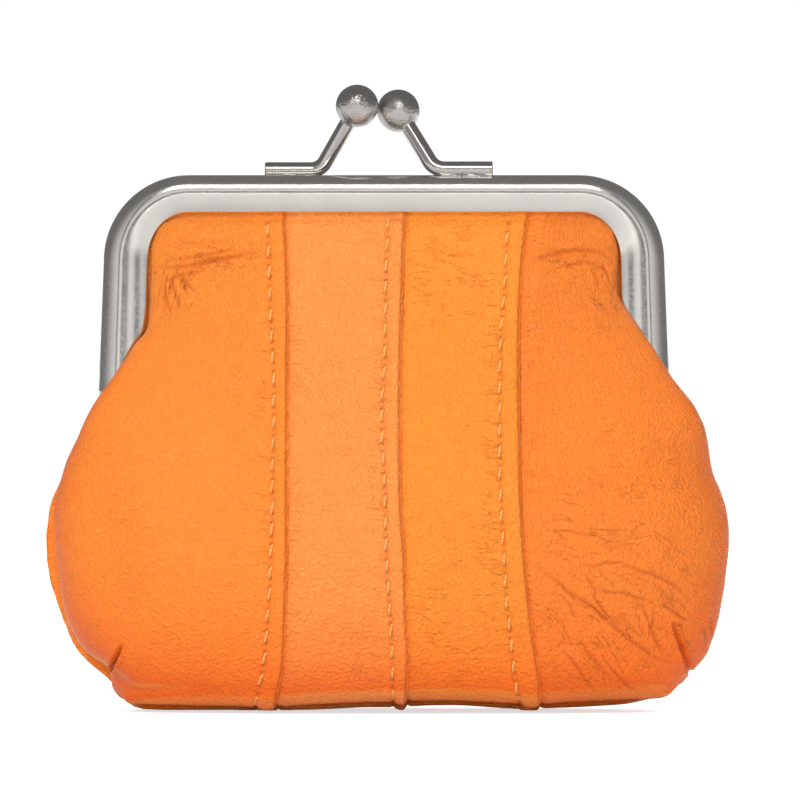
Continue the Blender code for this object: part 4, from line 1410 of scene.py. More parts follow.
def start_loop(name: str, outline: Grid) -> Piece:
    """Add a ring and draw it onto a closed outline, ready to be extruded.

    Args:
        name: Name of the new piece.
        outline: The ring's places, one row each.

    Returns:
        The piece, in edit mode with its ring selected.
    """
    deselect_all()
    bpy.ops.mesh.primitive_circle_add(vertices=len(outline), radius=1.0, fill_type="NOTHING")
    piece = bpy.context.object
    piece.name = name
    piece.data.name = name
    set_points(piece, outline)
    bpy.ops.object.mode_set(mode="EDIT")
    bpy.ops.mesh.select_all(action="SELECT")
    return piece


def push_loop(move: Vector, steps: int = 1) -> None:
    """Extrude the selected ring along a straight line."""
    for _ in range(steps):
        bpy.ops.mesh.extrude_region_move(TRANSFORM_OT_translate={"value": tuple(move / steps)})


def turn_loop(centre: Vector, axis: Vector, angle: float, steps: int) -> None:
    """Sweep the selected ring round a centre."""
    bpy.ops.mesh.spin(steps=steps, angle=-angle, center=tuple(centre), axis=tuple(axis))


def close_tube() -> None:
    """Close a swept tube's open ends and return to object mode."""
    bpy.ops.mesh.select_all(action="SELECT")
    bpy.ops.mesh.remove_doubles(threshold=1e-7)
    bpy.ops.mesh.select_all(action="DESELECT")
    bpy.ops.mesh.select_mode(type="EDGE")
    bpy.ops.mesh.select_non_manifold(extend=False)
    bpy.ops.mesh.fill_holes(sides=0)
    bpy.ops.mesh.select_mode(type="VERT")
    bpy.ops.mesh.select_all(action="SELECT")
    bpy.ops.mesh.normals_make_consistent(inside=False)
    bpy.ops.object.mode_set(mode="OBJECT")


def coat(piece: Piece, finish: Finish) -> None:
    """Give a piece its one finish."""
    piece.data.materials.clear()
    piece.data.materials.append(finish)


def join_pieces(main: Piece, others: list[Piece]) -> Piece:
    """Join pieces of one body into the first.

    Args:
        main: The piece that takes the others in.
        others: The other pieces.

    Returns:
        The joined piece.
    """
    deselect_all()
    for other in others:
        other.select_set(True)
    main.select_set(True)
    bpy.context.view_layer.objects.active = main
    bpy.ops.object.join()
    return main


@dataclass
class ChannelFrame:
    """One half of the frame: a rounded channel bent to an arch, with a riveted lug at each foot."""

    half: Half
    half_width: float = 39.5 * MM
    flare: float = 0.7 * MM
    face: float = 6.3 * MM
    top_face: float = 5.35 * MM
    top: float = 75.6 * MM
    foot: float = 45.2 * MM
    corner: float = 12.0 * MM
    depth: float = 4.3 * MM
    sheet: float = 0.6 * MM
    near: float = 0.15 * MM
    back_lip: float = 4.2 * MM
    corner_steps: int = 28
    ear_radius: float = 3.2 * MM
    ear_x: float = 40.1 * MM
    ear_gap: float = 0.35 * MM

    bead: tuple[tuple[float, float], ...] = (
        (1.000, 0.770), (0.998, 0.805), (0.982, 0.838), (0.950, 0.866), (0.900, 0.892), (0.820, 0.922), (0.740, 0.948),
        (0.660, 0.970), (0.580, 0.987), (0.510, 0.997),
    )
    round_across: float = 0.45
    round_deep: float = 0.46
    inside: tuple[tuple[float, float], ...] = (
        (0.115, 0.700), (0.170, 0.790), (0.260, 0.842), (0.400, 0.858), (0.560, 0.850), (0.740, 0.815), (0.900, 0.762),
        (0.975, 0.735), (0.995, 0.750),
    )

    def section(self) -> Grid:
        """The channel's section at the left foot, as a closed ring.

        Returns:
            Points by three.
        """
        face, depth, sheet = self.face, self.depth, self.sheet
        points = [(share * face, deep * depth) for share, deep in self.bead]
        for turn in np.linspace(0.0, 0.5 * math.pi, 15):
            across = self.round_across * (1.0 - math.sin(turn))
            deep = 1.0 - self.round_deep * (1.0 - math.cos(turn))
            points.append((across * face, deep * depth))
        points += [(0.0, 0.30 * depth), (0.0, 0.16 * depth)]
        points += [
            (0.01 * face, 0.085 * depth),
            (0.034 * face, 0.046 * depth),
            (0.55 * MM, self.near),
            (self.back_lip - 0.08 * MM, self.near),
            (self.back_lip, self.near + 0.10 * MM),
            (self.back_lip, self.near + sheet - 0.10 * MM),
            (self.back_lip - 0.08 * MM, self.near + sheet),
            (1.5 * sheet, self.near + sheet),
            (sheet, self.near + 1.6 * sheet),
            (sheet, 0.50 * depth),
        ]
        points += [(share * face, deep * depth) for share, deep in self.inside]
        sign = self.half.value
        return np.array([(-self.half_width + place, sign * deep, self.foot) for place, deep in points])

    def shape_face(self, points: Grid) -> Grid:
        """Narrow the face along the top and flare the arms.

        Args:
            points: The swept channel's points.

        Returns:
            The points in their final place.
        """
        centre_x = self.half_width - self.corner
        centre_z = self.top - self.corner
        side = np.sign(points[:, 0])
        over_x = np.abs(points[:, 0]) - centre_x
        over_z = points[:, 2] - centre_z
        narrow = self.top_face / self.face
        shaped = points.copy()
        top = over_x <= 0.0
        shaped[top, 2] = self.top - (self.top - points[top, 2]) * narrow
        corner = (over_x > 0.0) & (over_z > 0.0)
        radius = np.hypot(over_x[corner], over_z[corner])
        turn = np.arctan2(over_z[corner], over_x[corner])
        share = ease(turn / (0.5 * math.pi))
        reach = self.corner - (self.corner - radius) * (1.0 - share * (1.0 - narrow))
        shaped[corner, 0] = side[corner] * (centre_x + reach * np.cos(turn))
        shaped[corner, 2] = centre_z + reach * np.sin(turn)
        arm = over_z <= 0.0
        fall = -over_z[arm] / (centre_z - self.foot)
        inset = np.clip((self.half_width - np.abs(points[arm, 0])) / self.face, 0.0, 1.0)
        shaped[arm, 0] += side[arm] * self.flare * fall * (1.0 - 0.6 * inset)
        return shaped

    def ear(self, side: float) -> Piece:
        """A lug round the hinge, with its tang inside the arm's outer wall.

        Args:
            side: -1 on the left, 1 on the right.

        Returns:
            The lug.
        """
        outer = self.ear_x - (self.sheet + self.ear_gap) * (self.half is Half.REAR)
        turns = np.linspace(math.pi, math.tau, 33)
        ring = [(self.ear_radius * math.cos(turn), HINGE_Z + self.ear_radius * math.sin(turn)) for turn in turns]
        ring += [(3.0 * MM, 43.4 * MM), (2.2 * MM, 44.4 * MM), (-0.8 * MM, 45.1 * MM), (-0.8 * MM, 49.2 * MM)]
        ring += [(-2.7 * MM, 49.2 * MM), (-2.8 * MM, 45.2 * MM), (-3.1 * MM, 43.6 * MM)]
        mirror = -self.half.value
        outline = np.array([(side * outer, mirror * y, z) for y, z in ring])
        lug = start_loop("lug", outline)
        push_loop(Vector((-side * self.sheet, 0.0, 0.0)))
        close_tube()
        return lug

    def build(self, finish: Finish) -> Piece:
        """Sweep the channel round its arch, add the lugs and dress it.

        Args:
            finish: The metal's finish.

        Returns:
            The finished frame half.
        """
        name = f"{self.half.word}_frame_channel"
        axis = Vector((0.0, 1.0, 0.0))
        centre_x = self.half_width - self.corner
        centre_z = self.top - self.corner
        rise = Vector((0.0, 0.0, centre_z - self.foot))
        frame = start_loop(name, self.section())
        push_loop(rise, 6)
        turn_loop(Vector((-centre_x, 0.0, centre_z)), axis, 0.5 * math.pi, self.corner_steps)
        push_loop(Vector((2.0 * centre_x, 0.0, 0.0)), 6)
        turn_loop(Vector((centre_x, 0.0, centre_z)), axis, 0.5 * math.pi, self.corner_steps)
        push_loop(-rise, 6)
        close_tube()
        set_points(frame, self.shape_face(get_points(frame)))
        frame = join_pieces(frame, [self.ear(-1.0), self.ear(1.0)])
        frame.name = name
        sharp_shade(frame, 40.0)
        coat(frame, finish)
        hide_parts(f"{self.half.word}_frame")
        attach(frame, self.half.body)
        LOG.info("%s: %d points", name, len(frame.data.vertices))
        return frame


@dataclass
class KissClasp:
    """One half of the clasp: a bent rod soldered along the frame's top and the ball on its tip."""

    half: Half
    rod: float = 1.1 * MM
    ball: float = 3.0 * MM
    bend_radius: float = 2.4 * MM
    sides: int = 28
    seat_z: float = 76.45 * MM
    seat_y: float = 2.15 * MM

    def layout(self) -> tuple[Vector, Vector, Vector]:
        """Centre of the ball, start of the foot and corner of the bend.

        Returns:
            The three places, in metres.
        """
        if self.half is Half.REAR:
            ball = Vector((-3.80, -1.1, 85.4)) * MM
            bend = Vector((-8.95 * MM, self.seat_y, self.seat_z))
            return ball, bend - Vector((7.9 * MM, 0.0, 0.0)), bend
        ball = Vector((2.0093, 1.1, 84.8)) * MM
        bend = Vector((7.1093 * MM, -self.seat_y, self.seat_z))
        return ball, bend + Vector((8.2 * MM, 0.0, 0.0)), bend

    def ring(self, centre: Vector, way: Vector, radius: float) -> Grid:
        """A ring square to a direction.

        Args:
            centre: Centre of the ring.
            way: The direction.
            radius: Radius of the ring, in metres.

        Returns:
            Points by three.
        """
        across = way.orthogonal().normalized()
        other = way.cross(across)
        turns = np.linspace(0.0, math.tau, self.sides, endpoint=False)
        return np.array([tuple(centre + radius * (math.cos(t) * across + math.sin(t) * other)) for t in turns])

    def build(self, finish: Finish, ball_finish: Finish) -> list[Piece]:
        """Make the rod and its ball.

        Args:
            finish: The rod's finish.
            ball_finish: The ball's finish.

        Returns:
            The rod and the ball.
        """
        ball, start, bend = self.layout()
        along = (bend - start).normalized()
        up = (ball - bend).normalized()
        corner = along.angle(up)
        setback = self.bend_radius * math.tan(0.5 * corner)
        axis = along.cross(up).normalized()
        centre = bend - along * setback + axis.cross(along) * self.bend_radius
        rod = start_loop(f"{self.half.word}_clasp_rod", self.ring(start, along, 0.86 * self.rod))
        rim = along * 0.14 * MM
        push_loop(rim)
        full = self.rod / (0.86 * self.rod)
        bpy.ops.transform.resize(value=(full, full, full), center_override=tuple(start + rim))
        push_loop(bend - along * setback - start - rim)
        turn_loop(centre, axis, corner, 14)
        tip = ball - up * (self.ball - 1.2 * MM)
        push_loop(tip - (bend + up * setback))
        close_tube()
        bead = self.solder(start, along)
        rod = join_pieces(rod, [bead])
        knob = self.knob(ball, up)
        pieces = []
        for piece, node, look in ((rod, "clasp_stem", finish), (knob, "clasp_ball", ball_finish)):
            sharp_shade(piece, 40.0)
            coat(piece, look)
            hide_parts(f"{self.half.word}_{node}")
            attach(piece, self.half.body)
            LOG.info("%s: %d points", piece.name, len(piece.data.vertices))
            pieces.append(piece)
        return pieces

    def solder(self, start: Vector, along: Vector) -> Piece:
        """The bead of solder in the corner between the foot and the frame.

        Args:
            start: Where the foot starts.
            along: Direction of the foot.

        Returns:
            The bead.
        """
        deselect_all()
        shown = self.half is Half.FRONT
        length = (6.4 if shown else 5.0) * MM
        middle = start + along * (0.5 * length + (0.1 if shown else 1.2) * MM)
        bpy.ops.mesh.primitive_uv_sphere_add(segments=48, ring_count=24, radius=1.0, location=(0.0, 0.0, 0.0))
        bead = bpy.context.object
        points = get_points(bead)
        lumps = Ripple(5, 0.55, 8).at(points[:, 2] * 3.0, points[:, 1])
        points *= 1.0 + 0.09 * lumps[:, None]
        points = points[:, [2, 1, 0]] * np.array([0.5 * length, 1.25 * MM, (0.52 if shown else 0.34) * MM])
        points += np.array(tuple(middle)) + np.array([0.0, 0.0, -0.92 * MM])
        set_points(bead, points)
        clean_mesh(bead)
        return bead

    def knob(self, centre: Vector, up: Vector) -> Piece:
        """The ball, with the short collar in which the rod is seated.

        Args:
            centre: Centre of the ball.
            up: Direction from the rod to the ball.

        Returns:
            The ball.
        """
        deselect_all()
        bpy.ops.mesh.primitive_uv_sphere_add(segments=64, ring_count=40, radius=self.ball, location=(0.0, 0.0, 0.0))
        knob = bpy.context.object
        knob.name = f"{self.half.word}_clasp_knob"
        knob.data.name = knob.name
        select_only(knob)
        bpy.ops.object.mode_set(mode="EDIT")
        bpy.ops.mesh.select_all(action="DESELECT")
        bpy.ops.object.mode_set(mode="OBJECT")
        low = -self.ball * math.cos(math.asin(1.35 * MM / self.ball))
        for face in knob.data.polygons:
            face.select = all(knob.data.vertices[index].co.z < low for index in face.vertices)
        bpy.ops.object.mode_set(mode="EDIT")
        bpy.ops.mesh.select_mode(type="FACE")
        bpy.ops.mesh.extrude_region_move(TRANSFORM_OT_translate={"value": (0.0, 0.0, -0.28 * MM)})
        bpy.ops.transform.resize(value=(0.93, 0.93, 0.4), center_override=(0.0, 0.0, low - 0.28 * MM))
        bpy.ops.mesh.select_mode(type="VERT")
        bpy.ops.object.mode_set(mode="OBJECT")
        turn = Vector((0.0, 0.0, 1.0)).rotation_difference(up).to_matrix().to_4x4()
        knob.data.transform(Matrix.Translation(centre) @ turn)
        return knob


@dataclass
class StitchLine:
    """One row of stitches, sewn along a lapped seam."""

    half: Half
    seam: Seam
    strip: Strip
    ground: Piece
    thickness: float = 0.34 * MM
    slant: float = 0.17
    sides: int = 10
    steps: int = 12

    def middle(self, height: float) -> Grid:
        """x and z on the seam at a height."""
        return np.array([float(self.seam.stitch.at(np.array([height]))[0]), height])

    def template(self) -> Piece:
        """One straight thread with rounded ends, of unit length and width, along Z.

        Returns:
            The thread.
        """
        deselect_all()
        bpy.ops.mesh.primitive_cylinder_add(vertices=self.sides, radius=1.0, depth=2.0, end_fill_type="NGON")
        thread = bpy.context.object
        select_only(thread)
        bpy.ops.object.mode_set(mode="EDIT")
        for cut in np.linspace(-1.0, 1.0, self.steps + 1)[1:-1]:
            bpy.ops.mesh.select_all(action="SELECT")
            bpy.ops.mesh.bisect(plane_co=(0.0, 0.0, float(cut)), plane_no=(0.0, 0.0, 1.0))
        bpy.ops.object.mode_set(mode="OBJECT")
        return thread

    def place(self, tree: BVHTree, height: float, unit: Grid) -> Grid:
        """Lay one thread over its ground.

        Args:
            tree: The ground's faces.
            height: Height of the stitch's middle.
            unit: Points of the straight thread.

        Returns:
            The points in place.
        """
        sign = self.half.value
        middle = self.middle(height)
        above, below = self.middle(height + 0.5 * MM), self.middle(height - 0.5 * MM)
        way = (above - below) / np.linalg.norm(above - below)
        way = np.array([way[0] + self.slant, way[1]])
        way /= np.linalg.norm(way)
        reach = 0.5 * self.seam.thread + 0.10 * MM
        feet = []
        for share in (-0.6, 0.6):
            spot = middle + way * reach * share
            hit, normal, _, _ = tree.ray_cast(Vector((spot[0], sign * 0.05, spot[1])), Vector((0.0, -sign, 0.0)))
            if hit is None:
                return np.empty((0, 3))
            feet.append((np.array(hit), np.array(normal)))
        out = feet[0][1] + feet[1][1]
        out /= np.linalg.norm(out)
        centre = 0.5 * (feet[0][0] + feet[1][0])
        along = feet[1][0] - feet[0][0]
        along /= np.linalg.norm(along)
        across = np.cross(out, along)
        share = unit[:, 2]
        girth = 0.5 * self.thickness * np.sqrt(np.clip(1.04 - share**4, 0.0, 1.0))
        rise = 0.20 * MM - 0.40 * MM * np.abs(share) ** 5
        return (
            centre
            + along * (share * reach)[:, None]
            + across * (unit[:, 0] * girth * 1.15)[:, None]
            + out * (unit[:, 1] * girth * 0.85 + rise)[:, None]
        )

    def build(self, finish: Finish) -> Piece:
        """Sew the row.

        Args:
            finish: The thread's finish.

        Returns:
            All of the row's threads as one piece.
        """
        thread = self.template()
        unit = get_points(thread)
        tree = BVHTree.FromObject(self.ground, bpy.context.evaluated_depsgraph_get())
        threads = []
        for height in self.seam.heights():
            points = self.place(tree, float(height), unit)
            if len(points) == 0:
                continue
            copy = thread.copy()
            copy.data = thread.data.copy()
            bpy.context.collection.objects.link(copy)
            set_points(copy, points)
            threads.append(copy)
        bpy.data.objects.remove(thread)
        row = join_pieces(threads[0], threads[1:])
        row.name = f"{self.half.word}_stitches_{self.strip.word}"
        row.data.name = row.name
        clean_mesh(row)
        row.data.shade_smooth()
        coat(row, finish)
        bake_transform(row)
        LOG.info("%s: %d threads", row.name, len(threads))
        return row


@dataclass
class LiningSheet:
    """The lining of one half, from the bottom seam to the channel."""

    half: Half
    skin: LeatherSkin
    gap: float = 0.35 * MM
    thickness: float = 0.40 * MM
    pitch: float = 1.0 * MM
    columns: int = 96

    def net(self) -> SheetNet:
        """All points of the sheet.

        Returns:
            The net with its map.
        """
        table = self.skin.table
        places = table.even_places(self.pitch)
        places = places[places <= table.places[-1] - 0.25]
        turns = np.linspace(-0.5 * math.pi, 0.5 * math.pi, self.columns)
        place = np.repeat(places[:, None], self.columns, axis=1)
        turn = np.repeat(turns[None, :], len(places), axis=0)
        x = np.where(turn < 0.0, self.skin.x_at_turn(place, turn, True), self.skin.x_at_turn(place, turn, False))
        out, up = self.skin.face(place, x)
        side = self.skin.table.read(place)[2]
        share = x / np.where(x < 0.0, np.abs(x[:, :1]), np.abs(x[:, -1:]))
        inset = (3.6 + 1.6 * ease((side - 34.0 * MM) / (6.0 * MM))) * MM
        left = np.minimum(FRONT_LEFT_WIDTH.at(side), REAR_LEFT_WIDTH.at(side)) - inset
        right = np.minimum(FRONT_RIGHT_WIDTH.at(side), REAR_RIGHT_WIDTH.at(side)) - inset
        x = np.clip(x, -left, right)
        points = np.stack((x, -out, up), axis=2)
        normals = normals_of(points)
        limit = WINDOW_EDGE - drawn_in(up, WINDOW_TOP - WINDOW_CORNER, WINDOW_CORNER) - 0.95 * MM
        tuck = TUCK_EDGE - 1.0 * MM - drawn_in(up, TUCK_START, TUCK_CORNER)
        held = np.minimum(np.abs(share) / 0.9, 1.0) * limit
        held += np.clip(np.abs(share) / 0.1 - 9.0, 0.0, 1.0) * np.maximum(tuck - limit, 0.0)
        held = held * np.sign(share)
        flange = ease((np.abs(share) - 0.87) / 0.08)
        sunk = []
        for drop in (self.gap, self.gap + self.thickness):
            shell = points - normals * (LEATHER + drop)
            shell[:, :, 1] = np.minimum(shell[:, :, 1], -0.05 * MM - (0.4 * MM if drop == self.gap else 0.0))
            shell[:, :, 2] = np.maximum(shell[:, :, 2], 1.5 * MM + drop)
            deep = self.skin.face(place, held)[0] - LEATHER - drop
            deep = deep * (1.0 - flange) + (IN_CHANNEL - LEATHER - drop) * flange
            straight = np.stack((held, -np.maximum(deep, 0.5 * MM), up), axis=2)
            mix = ease((up - 43.0 * MM) / (3.4 * MM))[:, :, None]
            fold = 0.18 * MM * Ripple(900, 9 * MM).at(x, up)
            sheet = shell * (1.0 - mix) + straight * mix
            sheet[:, :, 1] += fold * ease((up - 5 * MM) / (5 * MM))
            sunk.append(sheet)
        ring = np.concatenate((sunk[0], sunk[1][:, ::-1], sunk[0][:, :1]), axis=1)
        for row in (0, -1):
            ring[row, self.columns:2 * self.columns] = ring[row, self.columns - 1::-1]
        middle = len(places) // 2
        across = run_along(ring[middle])
        along = np.linspace(0.0, self.pitch * (len(places) - 1), len(places))
        ring[:, :, 1] *= -self.half.value
        plain = np.zeros(ring.shape[:2])
        return SheetNet(ring, across, along, plain, plain, np.zeros(ring.shape))

    def build(self, finish: Finish) -> Piece:
        """Make and dress the sheet.

        Args:
            finish: The cloth's finish.

        Returns:
            The finished lining of this half.
        """
        name = f"{self.half.word}_lining"
        sheet = lay_net(name, self.net())
        sheet.data.materials.append(finish)
        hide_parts(f"{self.half.word}_mouth_lining", "pocket_lining")
        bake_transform(sheet)
        LOG.info("%s: %d points", name, len(sheet.data.vertices))
        return sheet


@dataclass
class HingeRivet:
    """A rivet with a domed head on each side, on which the lugs of one side turn."""

    side: float
    radius: float = 1.0 * MM
    head: float = 2.0 * MM
    dome: float = 0.62 * MM

    def build(self, finish: Finish) -> Piece:
        """Turn the rivet from its profile.

        Args:
            finish: The metal's finish.

        Returns:
            The finished rivet.
        """
        word = "left" if self.side < 0.0 else "right"
        low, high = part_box(f"{word}_hinge_rivet")
        inner, outer = sorted((abs(low[0]), abs(high[0])))
        turns = 0.5 * math.pi * np.linspace(0.0, 1.0, 8)
        domed = [(self.dome * (1.0 - math.cos(t)), self.head * max(0.02, math.sin(t))) for t in turns]
        profile = [(inner, 0.02 * MM), *((inner + x, r) for x, r in domed)]
        profile += [(inner + self.dome, self.radius), (outer - self.dome, self.radius)]
        profile += [(outer - x, r) for x, r in reversed(domed)]
        outline = np.array([(self.side * x, 0.0, HINGE_Z + r) for x, r in profile])
        piece = start_loop(f"{word}_rivet", outline)
        bpy.ops.object.mode_set(mode="OBJECT")
        last = len(outline) - 1
        for edge in piece.data.edges:
            edge.select = set(edge.vertices) != {0, last}
        bpy.ops.object.mode_set(mode="EDIT")
        bpy.ops.mesh.select_mode(type="EDGE")
        bpy.ops.mesh.spin(steps=40, angle=math.tau, center=(0.0, 0.0, HINGE_Z), axis=(1.0, 0.0, 0.0))
        close_tube()
        clean_mesh(piece, 0.004 * MM)
        sharp_shade(piece, 40.0)
        coat(piece, finish)
        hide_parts(f"{word}_hinge_rivet")
        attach(piece, "pouch")
        LOG.info("%s: %d points", piece.name, len(piece.data.vertices))
        return piece


@dataclass(frozen=True)
class WornSpot:
    """A gathered spot of a strip, with the way that its fine wrinkles run, in millimetres."""

    strip: Strip
    place: tuple[float, float]
    reach: tuple[float, float]
    strength: float
    way: int = 0

    def strength_at(self, x: Grid, z: Grid) -> Grid:
        """Strength of the spot's wrinkles at points, from 0 to 1."""
        gap = ((x / MM - self.place[0]) / self.reach[0]) ** 2 + ((z / MM - self.place[1]) / self.reach[1]) ** 2
        return self.strength * np.exp(-gap)


# Gathered spots where fine wrinkles show, drawn with bump and with painted shade in their lines
# The wrinkles run level (0), down to the right (1) or up to the right (2)
GATHERED_SPOTS = (
    WornSpot(Strip.OUTER_LEFT, (-29.5, 60.0), (3.5, 3.6), 1.0, 2),
    WornSpot(Strip.OUTER_LEFT, (-24.0, 63.8), (8.0, 2.6), 0.8, 0),
    WornSpot(Strip.OUTER_LEFT, (-16.6, 40.0), (1.4, 40.0), 0.6, 0),
    WornSpot(Strip.OUTER_LEFT, (-40.0, 13.0), (4.0, 6.0), 0.3, 2),
    WornSpot(Strip.INNER_LEFT, (-0.8, 40.0), (1.6, 40.0), 0.6, 0),
    WornSpot(Strip.INNER_LEFT, (-12.6, 40.0), (1.2, 40.0), 0.5, 0),
    WornSpot(Strip.INNER_LEFT, (-4.0, 9.0), (4.0, 6.0), 0.4, 2),
    WornSpot(Strip.INNER_RIGHT, (10.0, 62.0), (9.0, 8.0), 0.7, 0),
    WornSpot(Strip.INNER_RIGHT, (9.0, 12.0), (8.0, 9.0), 0.6, 0),
    WornSpot(Strip.INNER_RIGHT, (15.5, 40.0), (2.0, 40.0), 0.7, 0),
    WornSpot(Strip.OUTER_RIGHT, (30.0, 12.0), (10.0, 8.0), 0.9, 1),
    WornSpot(Strip.OUTER_RIGHT, (41.0, 16.0), (5.0, 9.0), 0.8, 1),
    WornSpot(Strip.OUTER_RIGHT, (32.0, 27.0), (13.0, 8.0), 0.7, 0),
    WornSpot(Strip.OUTER_RIGHT, (26.0, 63.3), (7.0, 2.6), 0.8, 0),
    WornSpot(Strip.OUTER_RIGHT, (31.0, 59.0), (2.5, 4.0), 0.9, 1),
    WornSpot(Strip.OUTER_RIGHT, (20.6, 40.0), (1.4, 40.0), 0.5, 0),
)
# Sizes of the creases that repeat, in millimetres, with how strong the painted shade in their valleys is and how far
# their banks rise
SHARP = dict(depth=0.18, width=0.19, dark=0.80, ridge=0.25)
FAINT = dict(depth=0.14, width=0.18, dark=0.62, ridge=0.25)
SHORT = dict(depth=0.16, width=0.20, dark=0.62, ridge=0.35)
LONG = dict(depth=0.30, width=0.26, ridge=0.40)
TUCK = dict(width=0.28, dark=1.00, ridge=0.40)
CREASES = {
    Strip.OUTER_LEFT: (
        Crease(((-31.1, 62.2), (-28.0, 62.8), (-24.5, 63.4), (-21.0, 64.1), (-17.7, 64.8)), dark=0.75, **LONG),
        Crease(((-31.5, 60.3), (-28.7, 61.4), (-25.2, 62.2)), 0.24, 0.24, 0.70, 0.40),
        Crease(((-27.0, 62.4), (-23.0, 63.9), (-19.5, 64.2)), 0.20, 0.20, 0.60, 0.30),
        Crease(((-30.4, 63.6), (-25.9, 64.2), (-20.3, 65.3)), 0.22, 0.22, 0.62, 0.35),
        Crease(((-29.8, 66.4), (-26.2, 66.0), (-22.1, 66.5)), 0.14, 0.20, 0.40, 0.30),
        Crease(((-30.1, 61.5), (-29.6, 59.6), (-29.0, 58.0)), 0.18, 0.20, 0.70, 0.35),
        Crease(((-28.6, 60.9), (-27.2, 59.9), (-26.3, 58.8)), **SHORT),
        Crease(((-31.2, 58.9), (-30.2, 57.1), (-29.9, 55.4)), **SHORT),
        Crease(((-29.3, 62.0), (-28.2, 60.4), (-27.6, 58.6)), 0.16, 0.20, 0.68, 0.35),
        Crease(((-30.8, 60.3), (-30.7, 58.4), (-30.3, 56.9)), 0.18, 0.20, 0.68, 0.35),
        # A broad soft hollow, shown mostly by painted shade
        Crease(((-38.5, 34.0), (-37.6, 26.0), (-36.2, 19.0), (-35.2, 13.0)), 0.42, 3.0, 0.16, 0.25),
        Crease(((-36.6, 9.6), (-37.3, 8.3), (-38.3, 6.2), (-39.5, 5.2)), 0.90, **TUCK),
    ),
    Strip.OUTER_RIGHT: (
        Crease(((21.6, 20.8), (23.6, 19.0), (25.2, 17.7), (26.6, 16.5), (28.5, 15.6), (29.9, 14.3), (31.3, 13.0),
                (32.9, 11.5), (34.3, 10.5), (35.5, 9.6), (36.9, 8.6), (38.0, 7.7), (39.2, 7.2), (40.6, 7.0)),
               0.24, 0.22, 0.85, 0.30),
        Crease(((27.5, 20.0), (28.5, 18.9), (29.6, 17.2), (29.4, 16.5), (30.3, 15.1), (31.3, 13.7), (32.7, 12.1),
                (34.3, 10.7)), **SHARP),
        Crease(((33.4, 21.2), (34.5, 20.5), (35.9, 20.0), (37.3, 19.6), (38.5, 19.1), (39.4, 18.6), (40.6, 18.0),
                (41.8, 17.0), (42.7, 15.8)), **SHARP),
        Crease(((27.5, 21.0), (29.4, 20.7), (31.3, 21.2), (32.9, 21.2), (34.1, 20.7), (35.2, 20.1)), **SHARP),
        Crease(((38.3, 14.9), (39.4, 15.1), (40.4, 14.3), (41.5, 13.5), (42.6, 13.0)), **SHARP),
        Crease(((37.8, 14.7), (37.7, 13.0), (37.5, 11.9), (37.9, 10.7), (38.4, 9.8), (39.0, 8.8), (39.7, 8.6)),
               0.26, 0.22, 0.85, 0.30),
        Crease(((35.9, 15.8), (36.6, 14.0), (37.0, 13.3), (37.3, 12.1), (37.1, 10.5)), **SHARP),
        Crease(((29.6, 17.5), (31.5, 17.0), (33.4, 17.0), (35.5, 16.2), (36.9, 15.9), (38.3, 14.9)), **SHARP),
        Crease(((26.6, 10.9), (28.0, 9.3), (29.4, 7.7), (30.8, 6.0), (31.7, 4.9)), **SHARP),
        Crease(((25.2, 8.8), (26.6, 7.2), (28.0, 5.1), (28.9, 3.7), (29.4, 3.0)), **SHARP),
        Crease(((31.5, 6.7), (32.9, 5.1), (34.1, 3.7), (35.3, 3.0)), **SHARP),
        Crease(((22.9, 25.6), (25.7, 25.6), (27.5, 25.2), (29.9, 24.9), (31.3, 24.1), (32.9, 24.1), (34.5, 23.8)),
               **FAINT),
        Crease(((37.6, 25.6), (38.7, 24.9), (39.4, 24.5), (40.6, 23.8)), **FAINT),
        Crease(((45.0, 12.1), (45.3, 10.7), (45.5, 9.3)), **SHARP),
        Crease(((46.0, 13.3), (46.1, 11.9), (46.2, 10.2)), **SHARP),
        Crease(((40.6, 12.6), (41.1, 11.1), (42.5, 7.3), (43.3, 5.4)), 0.95, **TUCK),
        Crease(((40.6, 12.6), (41.2, 12.3), (41.6, 12.4), (42.0, 11.6)), 0.30, 0.18, 0.90, 0.20),
        Crease(((20.3, 63.4), (23.4, 64.3), (26.9, 65.0), (30.4, 64.8), (32.1, 63.4)), dark=0.72, **LONG),
        Crease(((24.8, 62.5), (28.3, 63.4), (31.3, 62.2)), 0.22, 0.22, 0.66, 0.35),
        Crease(((30.1, 63.6), (31.2, 62.0), (32.0, 60.3)), 0.18, 0.20, 0.66, 0.35),
        Crease(((29.0, 62.5), (29.9, 61.0), (30.4, 59.4)), 0.16, 0.20, 0.66, 0.35),
    ),
}


def mirrored(creases: tuple[Crease, ...]) -> tuple[Crease, ...]:
    """The same wrinkles seen from the other side, and softer, without the deep tucks.

    Args:
        creases: Wrinkles of one side.

    Returns:
        Wrinkles of the other side.
    """
    return tuple(
        replace(crease, line=tuple((-x, z) for x, z in crease.line), depth=0.7 * crease.depth,
                width=1.15 * crease.width, dark=0.7 * crease.dark)
        for crease in creases
        if crease.depth < 0.5
    )


